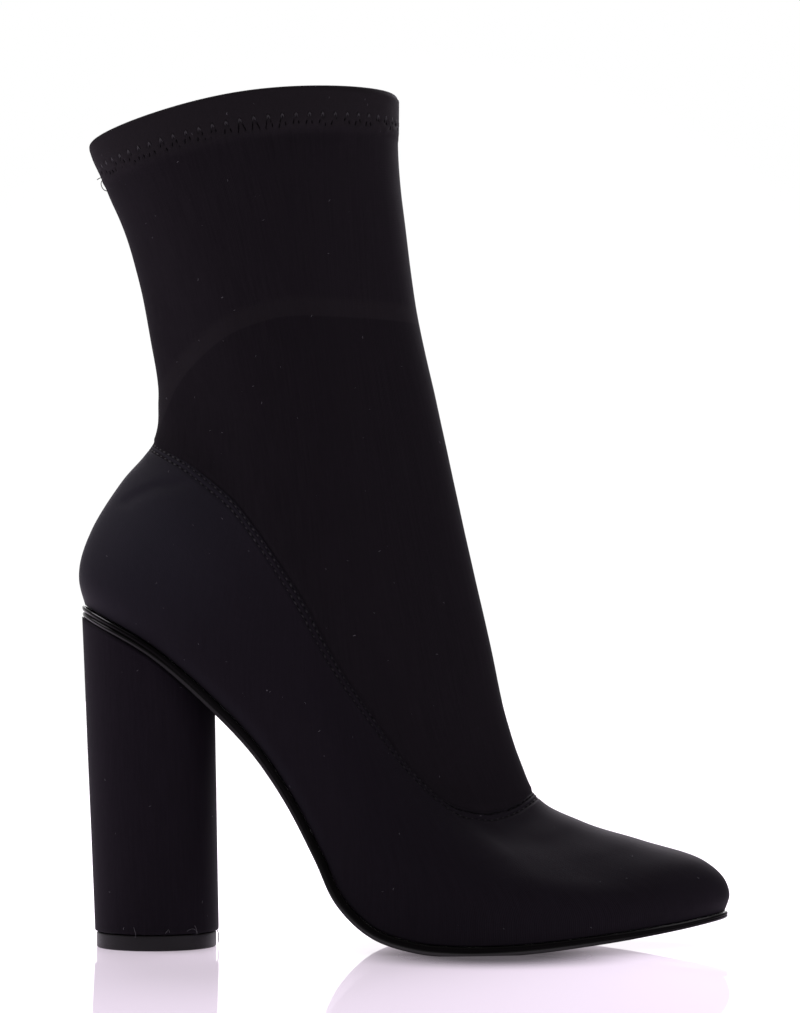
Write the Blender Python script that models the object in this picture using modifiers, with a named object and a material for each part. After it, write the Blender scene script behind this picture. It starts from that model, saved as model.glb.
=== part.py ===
"""Heeled ankle boot: a stretch sock shaft, a pointed foot panel, a thin sole and a round block heel.

It is a right boot. +X points to the toe, +Y to the inner side of the foot and +Z up, and the origin is
the centre of the heel's tread on the floor. Sizes are in millimetres, and points are turned into metres
when a mesh is made.

The foot panel and the shaft are one surface over a share, 0 at the centre back to 1 at the front, and a
level, 0 at the sole's edge, SEAM_LEVEL at the lap seam and 1 at the collar.
"""

import math
from collections import namedtuple

import bmesh
import bpy
import numpy as np
from mathutils import Vector

MM = 0.001
MERGE_DISTANCE = 0.00001
GAP = 0.3

# Walls
UPPER_WALL = 2.0
SHAFT_WALL = 1.4
INSOLE_THICKNESS = 2.5
INSOLE_CLEARANCE = 0.6

# Side view: each line runs from the back of the boot to its front, or from the sole up
Point = namedtuple("Point", "name x z")
FEATHER_LINE = (
    Point("heel back", -24.6, 115.0),
    Point("seat", -0.2, 101.2),
    Point("breast", 18.2, 85.7),
    Point("waist", 37.0, 65.7),
    Point("arch", 46.2, 52.0),
    Point("shank", 57.1, 31.5),
    Point("ball rise", 64.0, 17.8),
    Point("ball back", 73.5, 9.0),
    Point("ball", 88.0, 4.3),
    Point("tread back", 99.0, 3.3),
    Point("tread front", 118.0, 3.3),
    Point("toe rise", 145.8, 5.4),
    Point("toe", 174.2, 8.6),
    Point("tip", 192.6, 11.2),
)
SEAM_LINE = (
    Point("tendon", -2.2, 168.6),
    Point("heel side", 10.8, 160.9),
    Point("ankle back", 23.2, 148.2),
    Point("ankle", 44.8, 118.2),
    Point("instep side", 65.6, 83.4),
    Point("vamp side", 87.4, 57.0),
    Point("vamp turn", 98.4, 48.2),
    Point("vamp low", 110.0, 44.4),
    Point("vamp rise", 121.2, 45.9),
    Point("instep foot", 128.4, 50.0),
)
COLLAR_LINE = (
    Point("back", -24.0, 271.6),
    Point("side", 31.0, 283.4),
    Point("front", 81.0, 288.6),
)

SEAM_LEVEL = 0.26
SEAM_HALF_GAP = 0.0013
Rise = namedtuple("Rise", "level x z")
BACK_LINE = (
    Rise(0.00, -24.6, 115.0),
    Rise(0.04, -26.6, 123.4),
    Rise(0.12, -22.4, 140.5),
    Rise(0.19, -12.4, 156.6),
    Rise(SEAM_LEVEL, -2.2, 168.6),
    Rise(0.376, 0.0, 184.7),
    Rise(0.524, -2.8, 205.3),
    Rise(0.671, -7.0, 225.8),
    Rise(0.82, -13.6, 246.5),
    Rise(0.918, -20.5, 260.2),
    Rise(1.00, -24.0, 271.6),
)
FRONT_LINE = (
    Rise(0.00, 192.6, 11.2),
    Rise(0.03, 194.2, 17.0),
    Rise(0.06, 191.8, 23.0),
    Rise(0.09, 185.4, 28.3),
    Rise(0.15, 164.0, 35.3),
    Rise(0.21, 144.0, 41.6),
    Rise(SEAM_LEVEL, 128.4, 50.0),
    Rise(0.302, 122.4, 62.5),
    Rise(0.345, 118.0, 76.0),
    Rise(0.43, 112.0, 103.1),
    Rise(0.557, 102.8, 143.8),
    Rise(0.685, 94.0, 184.7),
    Rise(0.77, 87.9, 212.1),
    Rise(0.855, 84.1, 239.6),
    Rise(0.939, 81.2, 267.1),
    Rise(1.00, 81.0, 288.6),
)

# Half-widths of the level sections, with the shares that their rounded ends take up
Section = namedtuple("Section", "name level heel waist ball back_cap front_cap point sharp")
SECTIONS = (
    Section("feather", 0.00, 24.5, 21.5, 36.0, 0.10, 0.37, 1.22, 1.80),
    Section("wall", 0.05, 27.5, 25.0, 36.8, 0.11, 0.40, 1.32, 1.85),
    Section("cone", 0.15, 28.5, 29.5, 33.0, 0.16, 0.45, 1.65, 1.95),
    Section("seam", SEAM_LEVEL, 26.5, 31.5, 29.0, 0.26, 0.50, 2.00, 2.00),
    Section("ankle", 0.45, 29.0, 32.5, 32.0, 0.42, 0.50, 2.00, 2.00),
    Section("shin", 0.72, 36.0, 36.0, 36.0, 0.50, 0.50, 2.00, 2.00),
    Section("collar", 1.00, 40.0, 40.0, 40.0, 0.50, 0.50, 2.00, 2.00),
)
HEEL_SHARE = 0.13
WAIST_SHARE = 0.40
BALL_SHARE = 0.655
# The last's middle line leans outwards at the arch and inwards at the toe, less and less up the shaft
Swing = namedtuple("Swing", "share y")
MIDDLE_LINE = (
    Swing(0.0, 0.0),
    Swing(0.15, 0.0),
    Swing(0.40, -1.8),
    Swing(0.62, -1.2),
    Swing(0.85, 3.6),
    Swing(1.0, 7.5),
)
SWING_FULL_LEVEL = 0.05
SWING_END_LEVEL = 0.45
PROFILE_REACH = 2.0

# Sole: thickness along its length, and the section of its edge from the top middle to the bottom middle
Thickness = namedtuple("Thickness", "share value")
SOLE_THICKNESS = (
    Thickness(0.0, 4.2),
    Thickness(0.2, 3.4),
    Thickness(0.4, 3.1),
    Thickness(0.65, 3.3),
    Thickness(0.85, 2.8),
    Thickness(1.0, 2.0),
)
Edge = namedtuple("Edge", "name reach grow depth")
SOLE_EDGE = (
    Edge("top middle", 0.0, 0.0, 0.0),
    Edge("top", 0.55, 0.0, 0.0),
    Edge("top lip", 1.0, 0.7, 0.0),
    Edge("upper bead", 1.0, 1.1, 0.22),
    Edge("groove", 1.0, 0.6, 0.48),
    Edge("lower bead", 1.0, 1.1, 0.72),
    Edge("bottom lip", 1.0, 0.3, 1.0),
    Edge("bottom", 0.55, 0.0, 1.0),
    Edge("bottom middle", 0.0, 0.0, 1.0),
)
INSOLE_EDGE = (
    Edge("bottom middle", 0.0, 0.0, 0.0),
    Edge("bottom", 0.55, 0.0, 0.0),
    Edge("bottom lip", 1.0, 0.0, 0.0),
    Edge("top lip", 1.0, 0.0, 1.0),
    Edge("top", 0.55, 0.0, 1.0),
    Edge("top middle", 0.0, 0.0, 1.0),
)
SPINE_START = 0.09
SPINE_END = 0.96
# At the heel's back the sole is cut upright, and from this share on it is cut square to its face
SQUARE_CUT_SHARE = 0.3

# Heel: an oval column, given by its lower end and by an upper end above the sole
Oval = namedtuple("Oval", "z x half_length half_width")
TOP_PIECE_HEIGHT = 6.0
TOP_PIECE_INSET = 0.6
TOP_PIECE_EDGE = 0.6
HEEL_FOOT = Oval(TOP_PIECE_HEIGHT + GAP, -0.2, 20.5, 20.5)
HEEL_HEAD = Oval(125.0, -4.0, 22.3, 24.2)
HEEL_SEAT_GAP = 0.45
CUT_SHARES = (-0.05, 0.4)
CUT_HALF_WIDTH = 40.0
CUT_RISE = 60.0

# Mesh fineness
AROUND = 72
FINE_STEPS = 2000
SLOPE_STEP = 0.002
BEND_CROWDING = 40.0
UPPER_ROWS = 12
SHAFT_ROWS = 13
HEEL_SIDES = 48
CUT_STEPS = 24
TOP_PIECE_EDGE_STEPS = 2
SHARP_ANGLE = math.radians(35)


def smooth(knots, values):
    """Return a function that runs smoothly through the values at the knots."""
    knots = np.array(knots, dtype=float)
    values = np.array(values, dtype=float)
    slopes = np.gradient(values, knots, axis=0)

    def at(where):
        start = int(np.clip(np.searchsorted(knots, where, side="right") - 1, 0, len(knots) - 2))
        span = knots[start + 1] - knots[start]
        t = (where - knots[start]) / span
        return (
            (1 + 2 * t) * (1 - t) ** 2 * values[start]
            + t * (1 - t) ** 2 * span * slopes[start]
            + t * t * (3 - 2 * t) * values[start + 1]
            + t * t * (t - 1) * span * slopes[start + 1]
        )

    return at


def smooth_line(points):
    """Return a function from a share of a line's length, 0 to 1, to its (x, z), and that length."""
    places = np.array([(point.x, point.z) for point in points])
    steps = np.linalg.norm(np.diff(places, axis=0), axis=1)
    reached = np.concatenate([[0.0], np.cumsum(steps)])
    return smooth(reached / reached[-1], places), reached[-1]


def smooth_rise(rises):
    """Return a function from a level to the (x, z) of the back or front line."""
    return smooth([rise.level for rise in rises], [(rise.x, rise.z) for rise in rises])


feather_line, FEATHER_LENGTH = smooth_line(FEATHER_LINE)
seam_line, _ = smooth_line(SEAM_LINE)
collar_line, _ = smooth_line(COLLAR_LINE)
back_line = smooth_rise(BACK_LINE)
front_line = smooth_rise(FRONT_LINE)
section_sizes = smooth([row.level for row in SECTIONS], [row[2:] for row in SECTIONS])
middle_line = smooth([row.share for row in MIDDLE_LINE], [row.y for row in MIDDLE_LINE])
sole_thickness = smooth([row.share for row in SOLE_THICKNESS], [row.value for row in SOLE_THICKNESS])


def ease(value, start, end):
    """Rise smoothly from 0 at start to 1 at end."""
    t = min(max((value - start) / (end - start), 0.0), 1.0)
    return t * t * (3 - 2 * t)


def three_lines(share, level):
    """Return the (x, z) where a parabola through feather, seam and collar stands at a level."""
    feather_part = (level - SEAM_LEVEL) * (level - 1) / SEAM_LEVEL
    seam_part = level * (1 - level) / (SEAM_LEVEL * (1 - SEAM_LEVEL))
    collar_part = level * (level - SEAM_LEVEL) / (1 - SEAM_LEVEL)
    return (
        feather_part * feather_line(share)
        + seam_part * seam_line(share)
        + collar_part * collar_line(share)
    )


def side_view(share, level):
    """Return the (x, z) of the upper, drawn onto the back line and the front line at its ends."""
    at_back = back_line(level) - three_lines(0.0, level)
    at_front = front_line(level) - three_lines(1.0, level)
    return (
        three_lines(share, level)
        + (1 - share) ** PROFILE_REACH * at_back
        + share**PROFILE_REACH * at_front
    )


def half_width(share, level):
    """Return the half-width of a level section, rounded at the back and drawn in at the front."""
    heel, waist, ball, back_cap, front_cap, point, sharp = section_sizes(level)
    along = smooth((0.0, HEEL_SHARE, WAIST_SHARE, BALL_SHARE, 1.0), (heel, heel, waist, ball, ball))
    back = math.sqrt(1 - (1 - min(share / back_cap, 1.0)) ** 2)
    run_out = max(0.0, (share - 1 + front_cap) / front_cap)
    front = max(0.0, 1 - run_out**point) ** (1 / sharp)
    return float(along(share)) * back * front


def middle(share, level):
    """Return the y of the boot's middle at a share and level."""
    return float(middle_line(share)) * (1 - ease(level, SWING_FULL_LEVEL, SWING_END_LEVEL))


def even_shares():
    """Return the shares at even steps round half the sole's outline, closer where its face bends."""
    shares = (1 - np.cos(np.linspace(0.0, math.pi, FINE_STEPS + 1))) / 2
    widths = [half_width(share, 0.0) for share in shares]
    runs = np.diff([feather_line(share) for share in shares], axis=0)
    bends = np.abs(np.diff(np.arctan2(runs[:, 1], runs[:, 0]), append=0.0))
    lengths = np.hypot(np.diff(shares) * FEATHER_LENGTH, np.diff(widths)) + BEND_CROWDING * bends
    reached = np.concatenate([[0.0], np.cumsum(lengths)])
    return np.interp(np.linspace(0.0, reached[-1], AROUND // 2 + 1), reached, shares)


EVEN_SHARES = even_shares()


def way_round(turn):
    """Return the share and the side, -1 outer or 1 inner, at a turn of 0 to 1 from the centre back."""
    steps = turn * AROUND
    step = round(min(steps, AROUND - steps))
    return float(EVEN_SHARES[step]), -1 if turn < 0.5 else 1


def upper_point(turn, level):
    """Return a point of the outer face of the foot panel and shaft."""
    share, side = way_round(turn)
    x, z = side_view(share, level)
    return x, middle(share, level) + side * half_width(share, level), z


def sole_outline(turn, grow):
    """Return the distance along the feather line and the y of the sole's outline, grown outwards."""
    share, side = way_round(turn)
    step = SLOPE_STEP * min(share, 1 - share)
    before, after = share - step, share + step
    along = (after - before) * FEATHER_LENGTH
    widening = half_width(after, 0.0) - half_width(before, 0.0)
    if share in (0.0, 1.0):
        out_along, out_side = 2 * share - 1, 0.0
    else:
        slant = math.hypot(along, widening)
        out_along, out_side = -widening / slant, along / slant
    y = middle(share, 0.0) + side * (half_width(share, 0.0) + grow * out_side)
    return share * FEATHER_LENGTH + grow * out_along, y


def under_feather(along, y, drop):
    """Return the point that lies a drop below the feather line's face."""
    share = along / FEATHER_LENGTH
    run, climb = feather_line(share + SLOPE_STEP) - feather_line(share - SLOPE_STEP)
    square = ease(share, 0.0, SQUARE_CUT_SHARE)
    length = math.hypot(run, climb)
    down = Vector((climb / length * square, 0.0, -1 + square * (1 - run / length))).normalized()
    x, z = feather_line(share)
    return Vector((x, y, z)) + down * drop


def slab_point(turn, edge, grow, drop_at):
    """Return a point of a slab under the feather line, at one row of its edge table."""
    along, y = sole_outline(turn, grow + edge.grow)
    spine = min(max(along / FEATHER_LENGTH, SPINE_START), SPINE_END)
    along = edge.reach * along + (1 - edge.reach) * spine * FEATHER_LENGTH
    y = edge.reach * y + (1 - edge.reach) * middle(spine, 0.0)
    return under_feather(along, y, drop_at(along / FEATHER_LENGTH, edge.depth))


def sole_drop(share, depth):
    """Return the drop below the feather line at a depth of 0 to 1 in the outsole."""
    return GAP + depth * float(sole_thickness(min(max(share, 0.0), 1.0)))


def outsole_point(turn, row):
    """Return a point of the outsole, which is flat where it meets the floor."""
    point = slab_point(turn, SOLE_EDGE[row], 0.0, sole_drop)
    point.z = max(point.z, 0.0)
    return point


def insole_point(turn, row):
    """Return a point of the insole, which lies on the outsole inside the upper's wall."""
    inset = -(UPPER_WALL + INSOLE_CLEARANCE)
    return slab_point(turn, INSOLE_EDGE[row], inset, lambda share, depth: -depth * INSOLE_THICKNESS)


def finish(name, mesh, collection, material):
    """Make an object of a bmesh, smooth where it is round, and return it."""
    data = bpy.data.meshes.new(name)
    mesh.to_mesh(data)
    mesh.free()
    data.shade_smooth()
    data.set_sharp_from_angle(angle=SHARP_ANGLE)
    piece = bpy.data.objects.new(name, data)
    collection.objects.link(piece)
    if material is not None:
        data.materials.append(material)
    return piece


def mapped_grid(turns, rows, place):
    """Return a bmesh grid with place(turn, row share) for its points, closed where they meet."""
    mesh = bmesh.new()
    bmesh.ops.create_grid(mesh, x_segments=turns, y_segments=rows, size=1.0)
    for vertex in mesh.verts:
        vertex.co = Vector(place((vertex.co.x + 1) / 2, (vertex.co.y + 1) / 2)) * MM
    bmesh.ops.remove_doubles(mesh, verts=mesh.verts, dist=MERGE_DISTANCE)
    return mesh


def make_wall(name, start_level, end_level, rows, wall, collection, material):
    """Make a hollow wall of the upper's surface between two levels."""

    def place(turn, rise):
        return upper_point(turn, start_level + rise * (end_level - start_level))

    piece = finish(name, mapped_grid(AROUND, rows, place), collection, material)
    solidify = piece.modifiers.new("wall", "SOLIDIFY")
    solidify.thickness = wall * MM
    solidify.offset = -1
    solidify.use_even_offset = True
    return piece


def make_slab(name, place_row, rows, collection, material):
    """Make a closed slab whose section rows are placed by place_row(turn, row)."""

    def place(turn, rise):
        return place_row(turn, round(rise * (rows - 1)))

    mesh = mapped_grid(AROUND, rows - 1, place)
    bmesh.ops.dissolve_degenerate(mesh, dist=MERGE_DISTANCE, edges=mesh.edges)
    bmesh.ops.recalc_face_normals(mesh, faces=mesh.faces)
    return finish(name, mesh, collection, material)


def make_column(name, foot, head, collection, material):
    """Make an oval column between two ovals."""
    mesh = bmesh.new()
    bmesh.ops.create_cone(mesh, cap_ends=True, segments=HEEL_SIDES, radius1=1, radius2=1, depth=2)
    for vertex in mesh.verts:
        end = head if vertex.co.z > 0 else foot
        x = end.x + end.half_length * vertex.co.x
        vertex.co = Vector((x, end.half_width * vertex.co.y, end.z)) * MM
    return finish(name, mesh, collection, material)


def make_heel_cutter(collection):
    """Make the block that takes the heel's head off along the underside of the sole."""
    mesh = bmesh.new()
    bmesh.ops.create_grid(mesh, x_segments=CUT_STEPS, y_segments=1, size=1.0)
    start, end = CUT_SHARES
    for vertex in mesh.verts:
        share = start + (vertex.co.x + 1) / 2 * (end - start)
        drop = sole_drop(share, 1.0) + HEEL_SEAT_GAP
        y = vertex.co.y * CUT_HALF_WIDTH
        vertex.co = under_feather(share * FEATHER_LENGTH, y, drop) * MM
    raised = bmesh.ops.extrude_face_region(mesh, geom=mesh.faces[:])["geom"]
    lifted = [item for item in raised if isinstance(item, bmesh.types.BMVert)]
    bmesh.ops.translate(mesh, verts=lifted, vec=(0, 0, CUT_RISE * MM))
    bmesh.ops.recalc_face_normals(mesh, faces=mesh.faces)
    cutter = finish("heel_cutter", mesh, collection, None)
    cutter.hide_render = True
    cutter.display_type = "WIRE"
    return cutter


def make_heel(collection, cutters, material):
    """Make the block heel, cut to the sole."""
    heel = make_column("heel", HEEL_FOOT, HEEL_HEAD, collection, material)
    cut = heel.modifiers.new("seat", "BOOLEAN")
    cut.operation = "DIFFERENCE"
    cut.object = make_heel_cutter(cutters)
    return heel


def make_top_piece(collection, material):
    """Make the wearing piece under the heel."""
    radius = HEEL_FOOT.half_length - TOP_PIECE_INSET
    lower = Oval(0.0, 0.0, radius, radius)
    upper = Oval(TOP_PIECE_HEIGHT, 0.0, radius, radius)
    piece = make_column("heel_top_piece", lower, upper, collection, material)
    bevel = piece.modifiers.new("edge", "BEVEL")
    bevel.width = TOP_PIECE_EDGE * MM
    bevel.segments = TOP_PIECE_EDGE_STEPS
    return piece


def make_material(name, colour, roughness):
    """Make a plain material of one colour and roughness."""
    material = bpy.data.materials.new(name)
    material.use_nodes = True
    shader = material.node_tree.nodes["Principled BSDF"]
    shader.inputs["Base Color"].default_value = (*colour, 1.0)
    shader.inputs["Roughness"].default_value = roughness
    shader.inputs["Metallic"].default_value = 0.0
    return material


def make_collection(name):
    """Make a collection in the scene."""
    collection = bpy.data.collections.new(name)
    bpy.context.scene.collection.children.link(collection)
    return collection


def main():
    """Build the boot."""
    for old in list(bpy.data.objects):
        bpy.data.objects.remove(old)
    boot = make_collection("heeled_ankle_boot")
    cutters = make_collection("cutters")
    cloth = make_material("stretch_cloth", (0.012, 0.010, 0.014), 0.75)
    foot_cloth = make_material("foot_cloth", (0.014, 0.012, 0.016), 0.7)
    heel_cloth = make_material("heel_cloth", (0.012, 0.010, 0.013), 0.75)
    gloss_sole = make_material("gloss_sole", (0.010, 0.010, 0.010), 0.2)
    top_rubber = make_material("top_rubber", (0.015, 0.014, 0.016), 0.5)
    lining = make_material("lining", (0.016, 0.015, 0.017), 0.85)

    seam_low, seam_high = SEAM_LEVEL - SEAM_HALF_GAP, SEAM_LEVEL + SEAM_HALF_GAP
    make_wall("upper", 0.0, seam_low, UPPER_ROWS, UPPER_WALL, boot, foot_cloth)
    make_wall("shaft", seam_high, 1.0, SHAFT_ROWS, SHAFT_WALL, boot, cloth)
    make_slab("outsole", outsole_point, len(SOLE_EDGE), boot, gloss_sole)
    make_slab("insole", insole_point, len(INSOLE_EDGE), boot, lining)
    make_heel(boot, cutters, heel_cloth)
    make_top_piece(boot, top_rubber)


main()
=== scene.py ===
"""The looks of a heeled ankle boot: a stretch sock, a pointed jersey foot, a thin sole and a block heel.

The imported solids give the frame. Each visible piece is made again here, at a finer scale, over the same last.
Sizes are in millimetres and are turned into metres when a mesh is made. +X points to the toe, +Y to the inner
side of the foot and +Z up, with the origin at the centre of the heel's tread on the floor.
"""

import logging
import math
from dataclasses import dataclass
from enum import Enum
from typing import Any, NamedTuple, Sequence

import bmesh
import bpy
import numpy as np
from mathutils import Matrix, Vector


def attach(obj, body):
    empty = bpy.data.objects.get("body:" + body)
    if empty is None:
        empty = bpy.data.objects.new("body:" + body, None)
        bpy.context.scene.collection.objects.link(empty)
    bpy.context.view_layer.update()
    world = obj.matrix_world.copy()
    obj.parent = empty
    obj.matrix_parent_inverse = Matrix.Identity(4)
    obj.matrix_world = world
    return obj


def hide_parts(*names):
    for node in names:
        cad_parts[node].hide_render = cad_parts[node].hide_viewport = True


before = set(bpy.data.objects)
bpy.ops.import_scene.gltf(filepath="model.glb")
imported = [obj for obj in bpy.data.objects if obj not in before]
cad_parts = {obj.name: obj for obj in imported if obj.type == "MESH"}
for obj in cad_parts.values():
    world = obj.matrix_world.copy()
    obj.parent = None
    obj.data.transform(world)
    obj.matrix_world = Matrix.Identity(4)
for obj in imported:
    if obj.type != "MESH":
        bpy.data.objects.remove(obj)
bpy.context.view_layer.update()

log = logging.getLogger("boot")
Array = np.ndarray
Colour = tuple[float, float, float]
Obj = bpy.types.Object
Material = bpy.types.Material
Socket = bpy.types.NodeSocket
Outputs = bpy.types.NodeOutputs
Given = dict[str | int, Any]

MM = 0.001
BODY = "root"
VALUE = "NodeSocketFloat"
VECTOR = "NodeSocketVector"
WHOLE = "NodeSocketInt"
SHAPES = "NodeSocketGeometry"
MERGE_DISTANCE = 0.000005
BLACK = (0.0, 0.0, 0.0)
WHITE = (1.0, 1.0, 1.0)
CLOTH_MAP = "cloth"
OUTSIDE = "outside"
TREAD = "tread"
STAY = "stay"
# The pale mark paints light: paler cloth on the hem, the heel counter and the foot's lower rim
PAINTED_LIGHT_MARK = "pale"
SHINE = "shine"
DULL = "dull"
POLISH = "polish"
ALONG = "along"
OUT = "out"
# Distances that stand for out of reach of the inner stay, or of a seam or hem
NO_STAY = 12.0
FAR = 100.0


class Slot(Enum):
    """The record's material slots."""

    FOOT_CLOTH = "foot_cloth"
    SHAFT_CLOTH = "shaft_cloth"
    LINING = "lining"
    SOLE = "sole"
    HEEL_CLOTH = "heel_cloth"
    TOP_PIECE = "top_piece"


class Fold(Enum):
    """How a soft line stands in the cloth."""

    RIDGE = "ridge"
    TROUGH = "trough"
    STEP = "step"


class Station(NamedTuple):
    """A named point of a line in the side view."""

    name: str
    x: float
    z: float


class Rise(NamedTuple):
    """A point of the back or front line at a level of the wall."""

    level: float
    x: float
    z: float


class Section(NamedTuple):
    """Half-widths at a level, and the shape of its rounded ends."""

    name: str
    level: float
    heel: float
    waist: float
    ball: float
    back_cap: float
    front_cap: float
    point: float
    sharp: float


class Reading(NamedTuple):
    """A value at a share of the sole's length."""

    share: float
    value: float


# The last in the side view, each line from the back of the boot to its front, or from the sole up
FEATHER_LINE = (
    Station("heel back", -24.6, 115.0),
    Station("seat", -0.2, 101.2),
    Station("breast", 18.2, 85.7),
    Station("waist", 37.0, 65.7),
    Station("arch", 46.2, 52.0),
    Station("shank", 57.1, 31.5),
    Station("ball rise", 64.0, 17.8),
    Station("ball back", 73.5, 9.0),
    Station("ball", 88.0, 4.3),
    Station("tread back", 99.0, 3.3),
    Station("tread front", 118.0, 3.3),
    Station("toe rise", 145.8, 5.4),
    Station("toe", 174.2, 8.6),
    Station("tip", 192.6, 11.2),
)
SEAM_LINE = (
    Station("tendon", -2.2, 168.6),
    Station("heel side", 10.8, 160.9),
    Station("ankle back", 23.2, 148.2),
    Station("ankle", 44.8, 118.2),
    Station("instep side", 65.6, 83.4),
    Station("vamp side", 87.4, 57.0),
    Station("vamp turn", 98.4, 48.2),
    Station("vamp low", 110.0, 44.4),
    Station("vamp rise", 121.2, 45.9),
    Station("instep foot", 128.4, 50.0),
)
COLLAR_LINE = (
    Station("back", -24.0, 271.6),
    Station("side", 31.0, 283.4),
    Station("front", 81.0, 288.6),
)
SEAM_LEVEL = 0.26
BACK_LINE = (
    Rise(0.00, -24.6, 115.0),
    Rise(0.04, -26.6, 123.4),
    Rise(0.12, -22.4, 140.5),
    Rise(0.19, -12.4, 156.6),
    Rise(SEAM_LEVEL, -2.2, 168.6),
    Rise(0.376, 0.0, 184.7),
    Rise(0.524, -2.8, 205.3),
    Rise(0.671, -7.0, 225.8),
    Rise(0.82, -13.6, 246.5),
    Rise(0.918, -20.5, 260.2),
    Rise(1.00, -24.0, 271.6),
)
FRONT_LINE = (
    Rise(0.00, 192.6, 11.2),
    Rise(0.03, 194.2, 17.0),
    Rise(0.06, 191.8, 23.0),
    Rise(0.09, 185.4, 28.3),
    Rise(0.15, 164.0, 35.3),
    Rise(0.21, 144.0, 41.6),
    Rise(SEAM_LEVEL, 128.4, 50.0),
    Rise(0.302, 122.4, 62.5),
    Rise(0.345, 118.0, 76.0),
    Rise(0.43, 112.0, 103.1),
    Rise(0.557, 102.8, 143.8),
    Rise(0.685, 94.0, 184.7),
    Rise(0.77, 87.9, 212.1),
    Rise(0.855, 84.1, 239.6),
    Rise(0.939, 81.2, 267.1),
    Rise(1.00, 81.0, 288.6),
)
SECTIONS = (
    Section("feather", 0.00, 24.5, 21.5, 36.0, 0.10, 0.37, 1.22, 1.80),
    Section("wall", 0.05, 27.5, 25.0, 36.8, 0.11, 0.40, 1.32, 1.85),
    Section("cone", 0.15, 28.5, 29.5, 33.0, 0.16, 0.45, 1.65, 1.95),
    Section("seam", SEAM_LEVEL, 26.5, 31.5, 29.0, 0.26, 0.50, 2.00, 2.00),
    Section("ankle", 0.45, 29.0, 32.5, 32.0, 0.42, 0.50, 2.00, 2.00),
    Section("shin", 0.72, 36.0, 36.0, 36.0, 0.50, 0.50, 2.00, 2.00),
    Section("collar", 1.00, 40.0, 40.0, 40.0, 0.50, 0.50, 2.00, 2.00),
)
WIDTH_SHARES = (0.0, 0.13, 0.40, 0.655, 1.0)
MIDDLE_LINE = (
    Reading(0.0, 0.0), Reading(0.15, 0.0), Reading(0.40, -1.8), Reading(0.62, -1.2), Reading(0.85, 3.6),
    Reading(1.0, 7.5),
)
SOLE_THICKNESS = (
    Reading(0.0, 4.2), Reading(0.2, 3.4), Reading(0.4, 3.1), Reading(0.65, 3.3), Reading(0.85, 2.8),
    Reading(1.0, 2.0),
)
SWING_FULL_LEVEL = 0.05
SWING_END_LEVEL = 0.45
PROFILE_REACH = 2.0
# How the vamp's cloth is drawn taut past the hollow beside the instep
TAUT_TAPS = (1, 6, 15, 20, 15, 6, 1)
TAUT_REACH = 0.04
TAUT_FROM = (0.02, 0.14)
TAUT_TO = (0.34, 0.46)
TAUT_SHARES = (0.42, 0.6)
TAUT_KEEP = (0.86, 1.0)
SPINE_START = 0.09
SPINE_END = 0.96
SQUARE_CUT_SHARE = 0.3
SOLE_GAP = 0.3
FLOOR = 0.0

# How finely the last is read
FINE_STEPS = 2000
BEND_CROWDING = 40.0
TURN_STEP = 0.0015
LEVEL_STEP = 0.002
SLOPE_STEP = 0.002
LEVEL_REACH = 0.25
LEVEL_SAMPLES = 90
HEEL_SHARES = (-0.05, 0.4)
LEAST_LENGTH = 1e-9


def ease(value: Array, start: float, end: float) -> Array:
    """Rise smoothly from 0 at start to 1 at end."""
    t = np.clip((value - start) / (end - start), 0.0, 1.0)
    return t * t * (3 - 2 * t)


def bell(value: Array, width: Array | float) -> Array:
    """Return a soft hump, 1 at zero and near 0 past twice its width."""
    return np.exp(-((value / width) ** 2))


def unit(vectors: Array) -> Array:
    """Return the vectors at a length of 1."""
    return vectors / np.maximum(np.linalg.norm(vectors, axis=-1, keepdims=True), LEAST_LENGTH)


class SmoothCurve:
    """A curve that runs smoothly through its values at its knots."""

    def __init__(self, knots: Sequence[float], values: Sequence[Any]) -> None:
        """Fit the curve.

        Args:
            knots: Rising places.
            values: A number or a row of numbers at each place.
        """
        self.knots = np.array(knots, dtype=float)
        self.values = np.array(values, dtype=float)
        self.slopes = np.gradient(self.values, self.knots, axis=0)

    def __call__(self, where: Array | float) -> Array:
        """Read the curve.

        Args:
            where: Places along the knots.

        Returns:
            The curve's value at each place.
        """
        where = np.asarray(where, dtype=float)
        start = np.clip(np.searchsorted(self.knots, where, side="right") - 1, 0, len(self.knots) - 2)
        span = self.knots[start + 1] - self.knots[start]
        t = (where - self.knots[start]) / span
        if self.values.ndim > 1:
            t, span = t[..., None], span[..., None]
        return (
            (1 + 2 * t) * (1 - t) ** 2 * self.values[start]
            + t * (1 - t) ** 2 * span * self.slopes[start]
            + t * t * (3 - 2 * t) * self.values[start + 1]
            + t * t * (t - 1) * span * self.slopes[start + 1]
        )


def reached_along(points: Array) -> Array:
    """Return how far along a line each of its points lies."""
    return np.concatenate([[0.0], np.cumsum(np.linalg.norm(np.diff(points, axis=0), axis=1))])


def rows_between(low: Array, high: Array, count: int) -> Array:
    """Return a count of rows, spaced evenly between a low and a high one."""
    return low + (high - low) * np.linspace(0.0, 1.0, count + 2)[1:-1, None]


def line_through(stations: Sequence[Station]) -> tuple[SmoothCurve, float]:
    """Draw a smooth line through stations of the side view.

    Args:
        stations: The line's points in order.

    Returns:
        The line over a share of its length, and that length.
    """
    places = np.array([(station.x, station.z) for station in stations])
    reached = reached_along(places)
    return SmoothCurve(reached / reached[-1], places), float(reached[-1])


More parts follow.
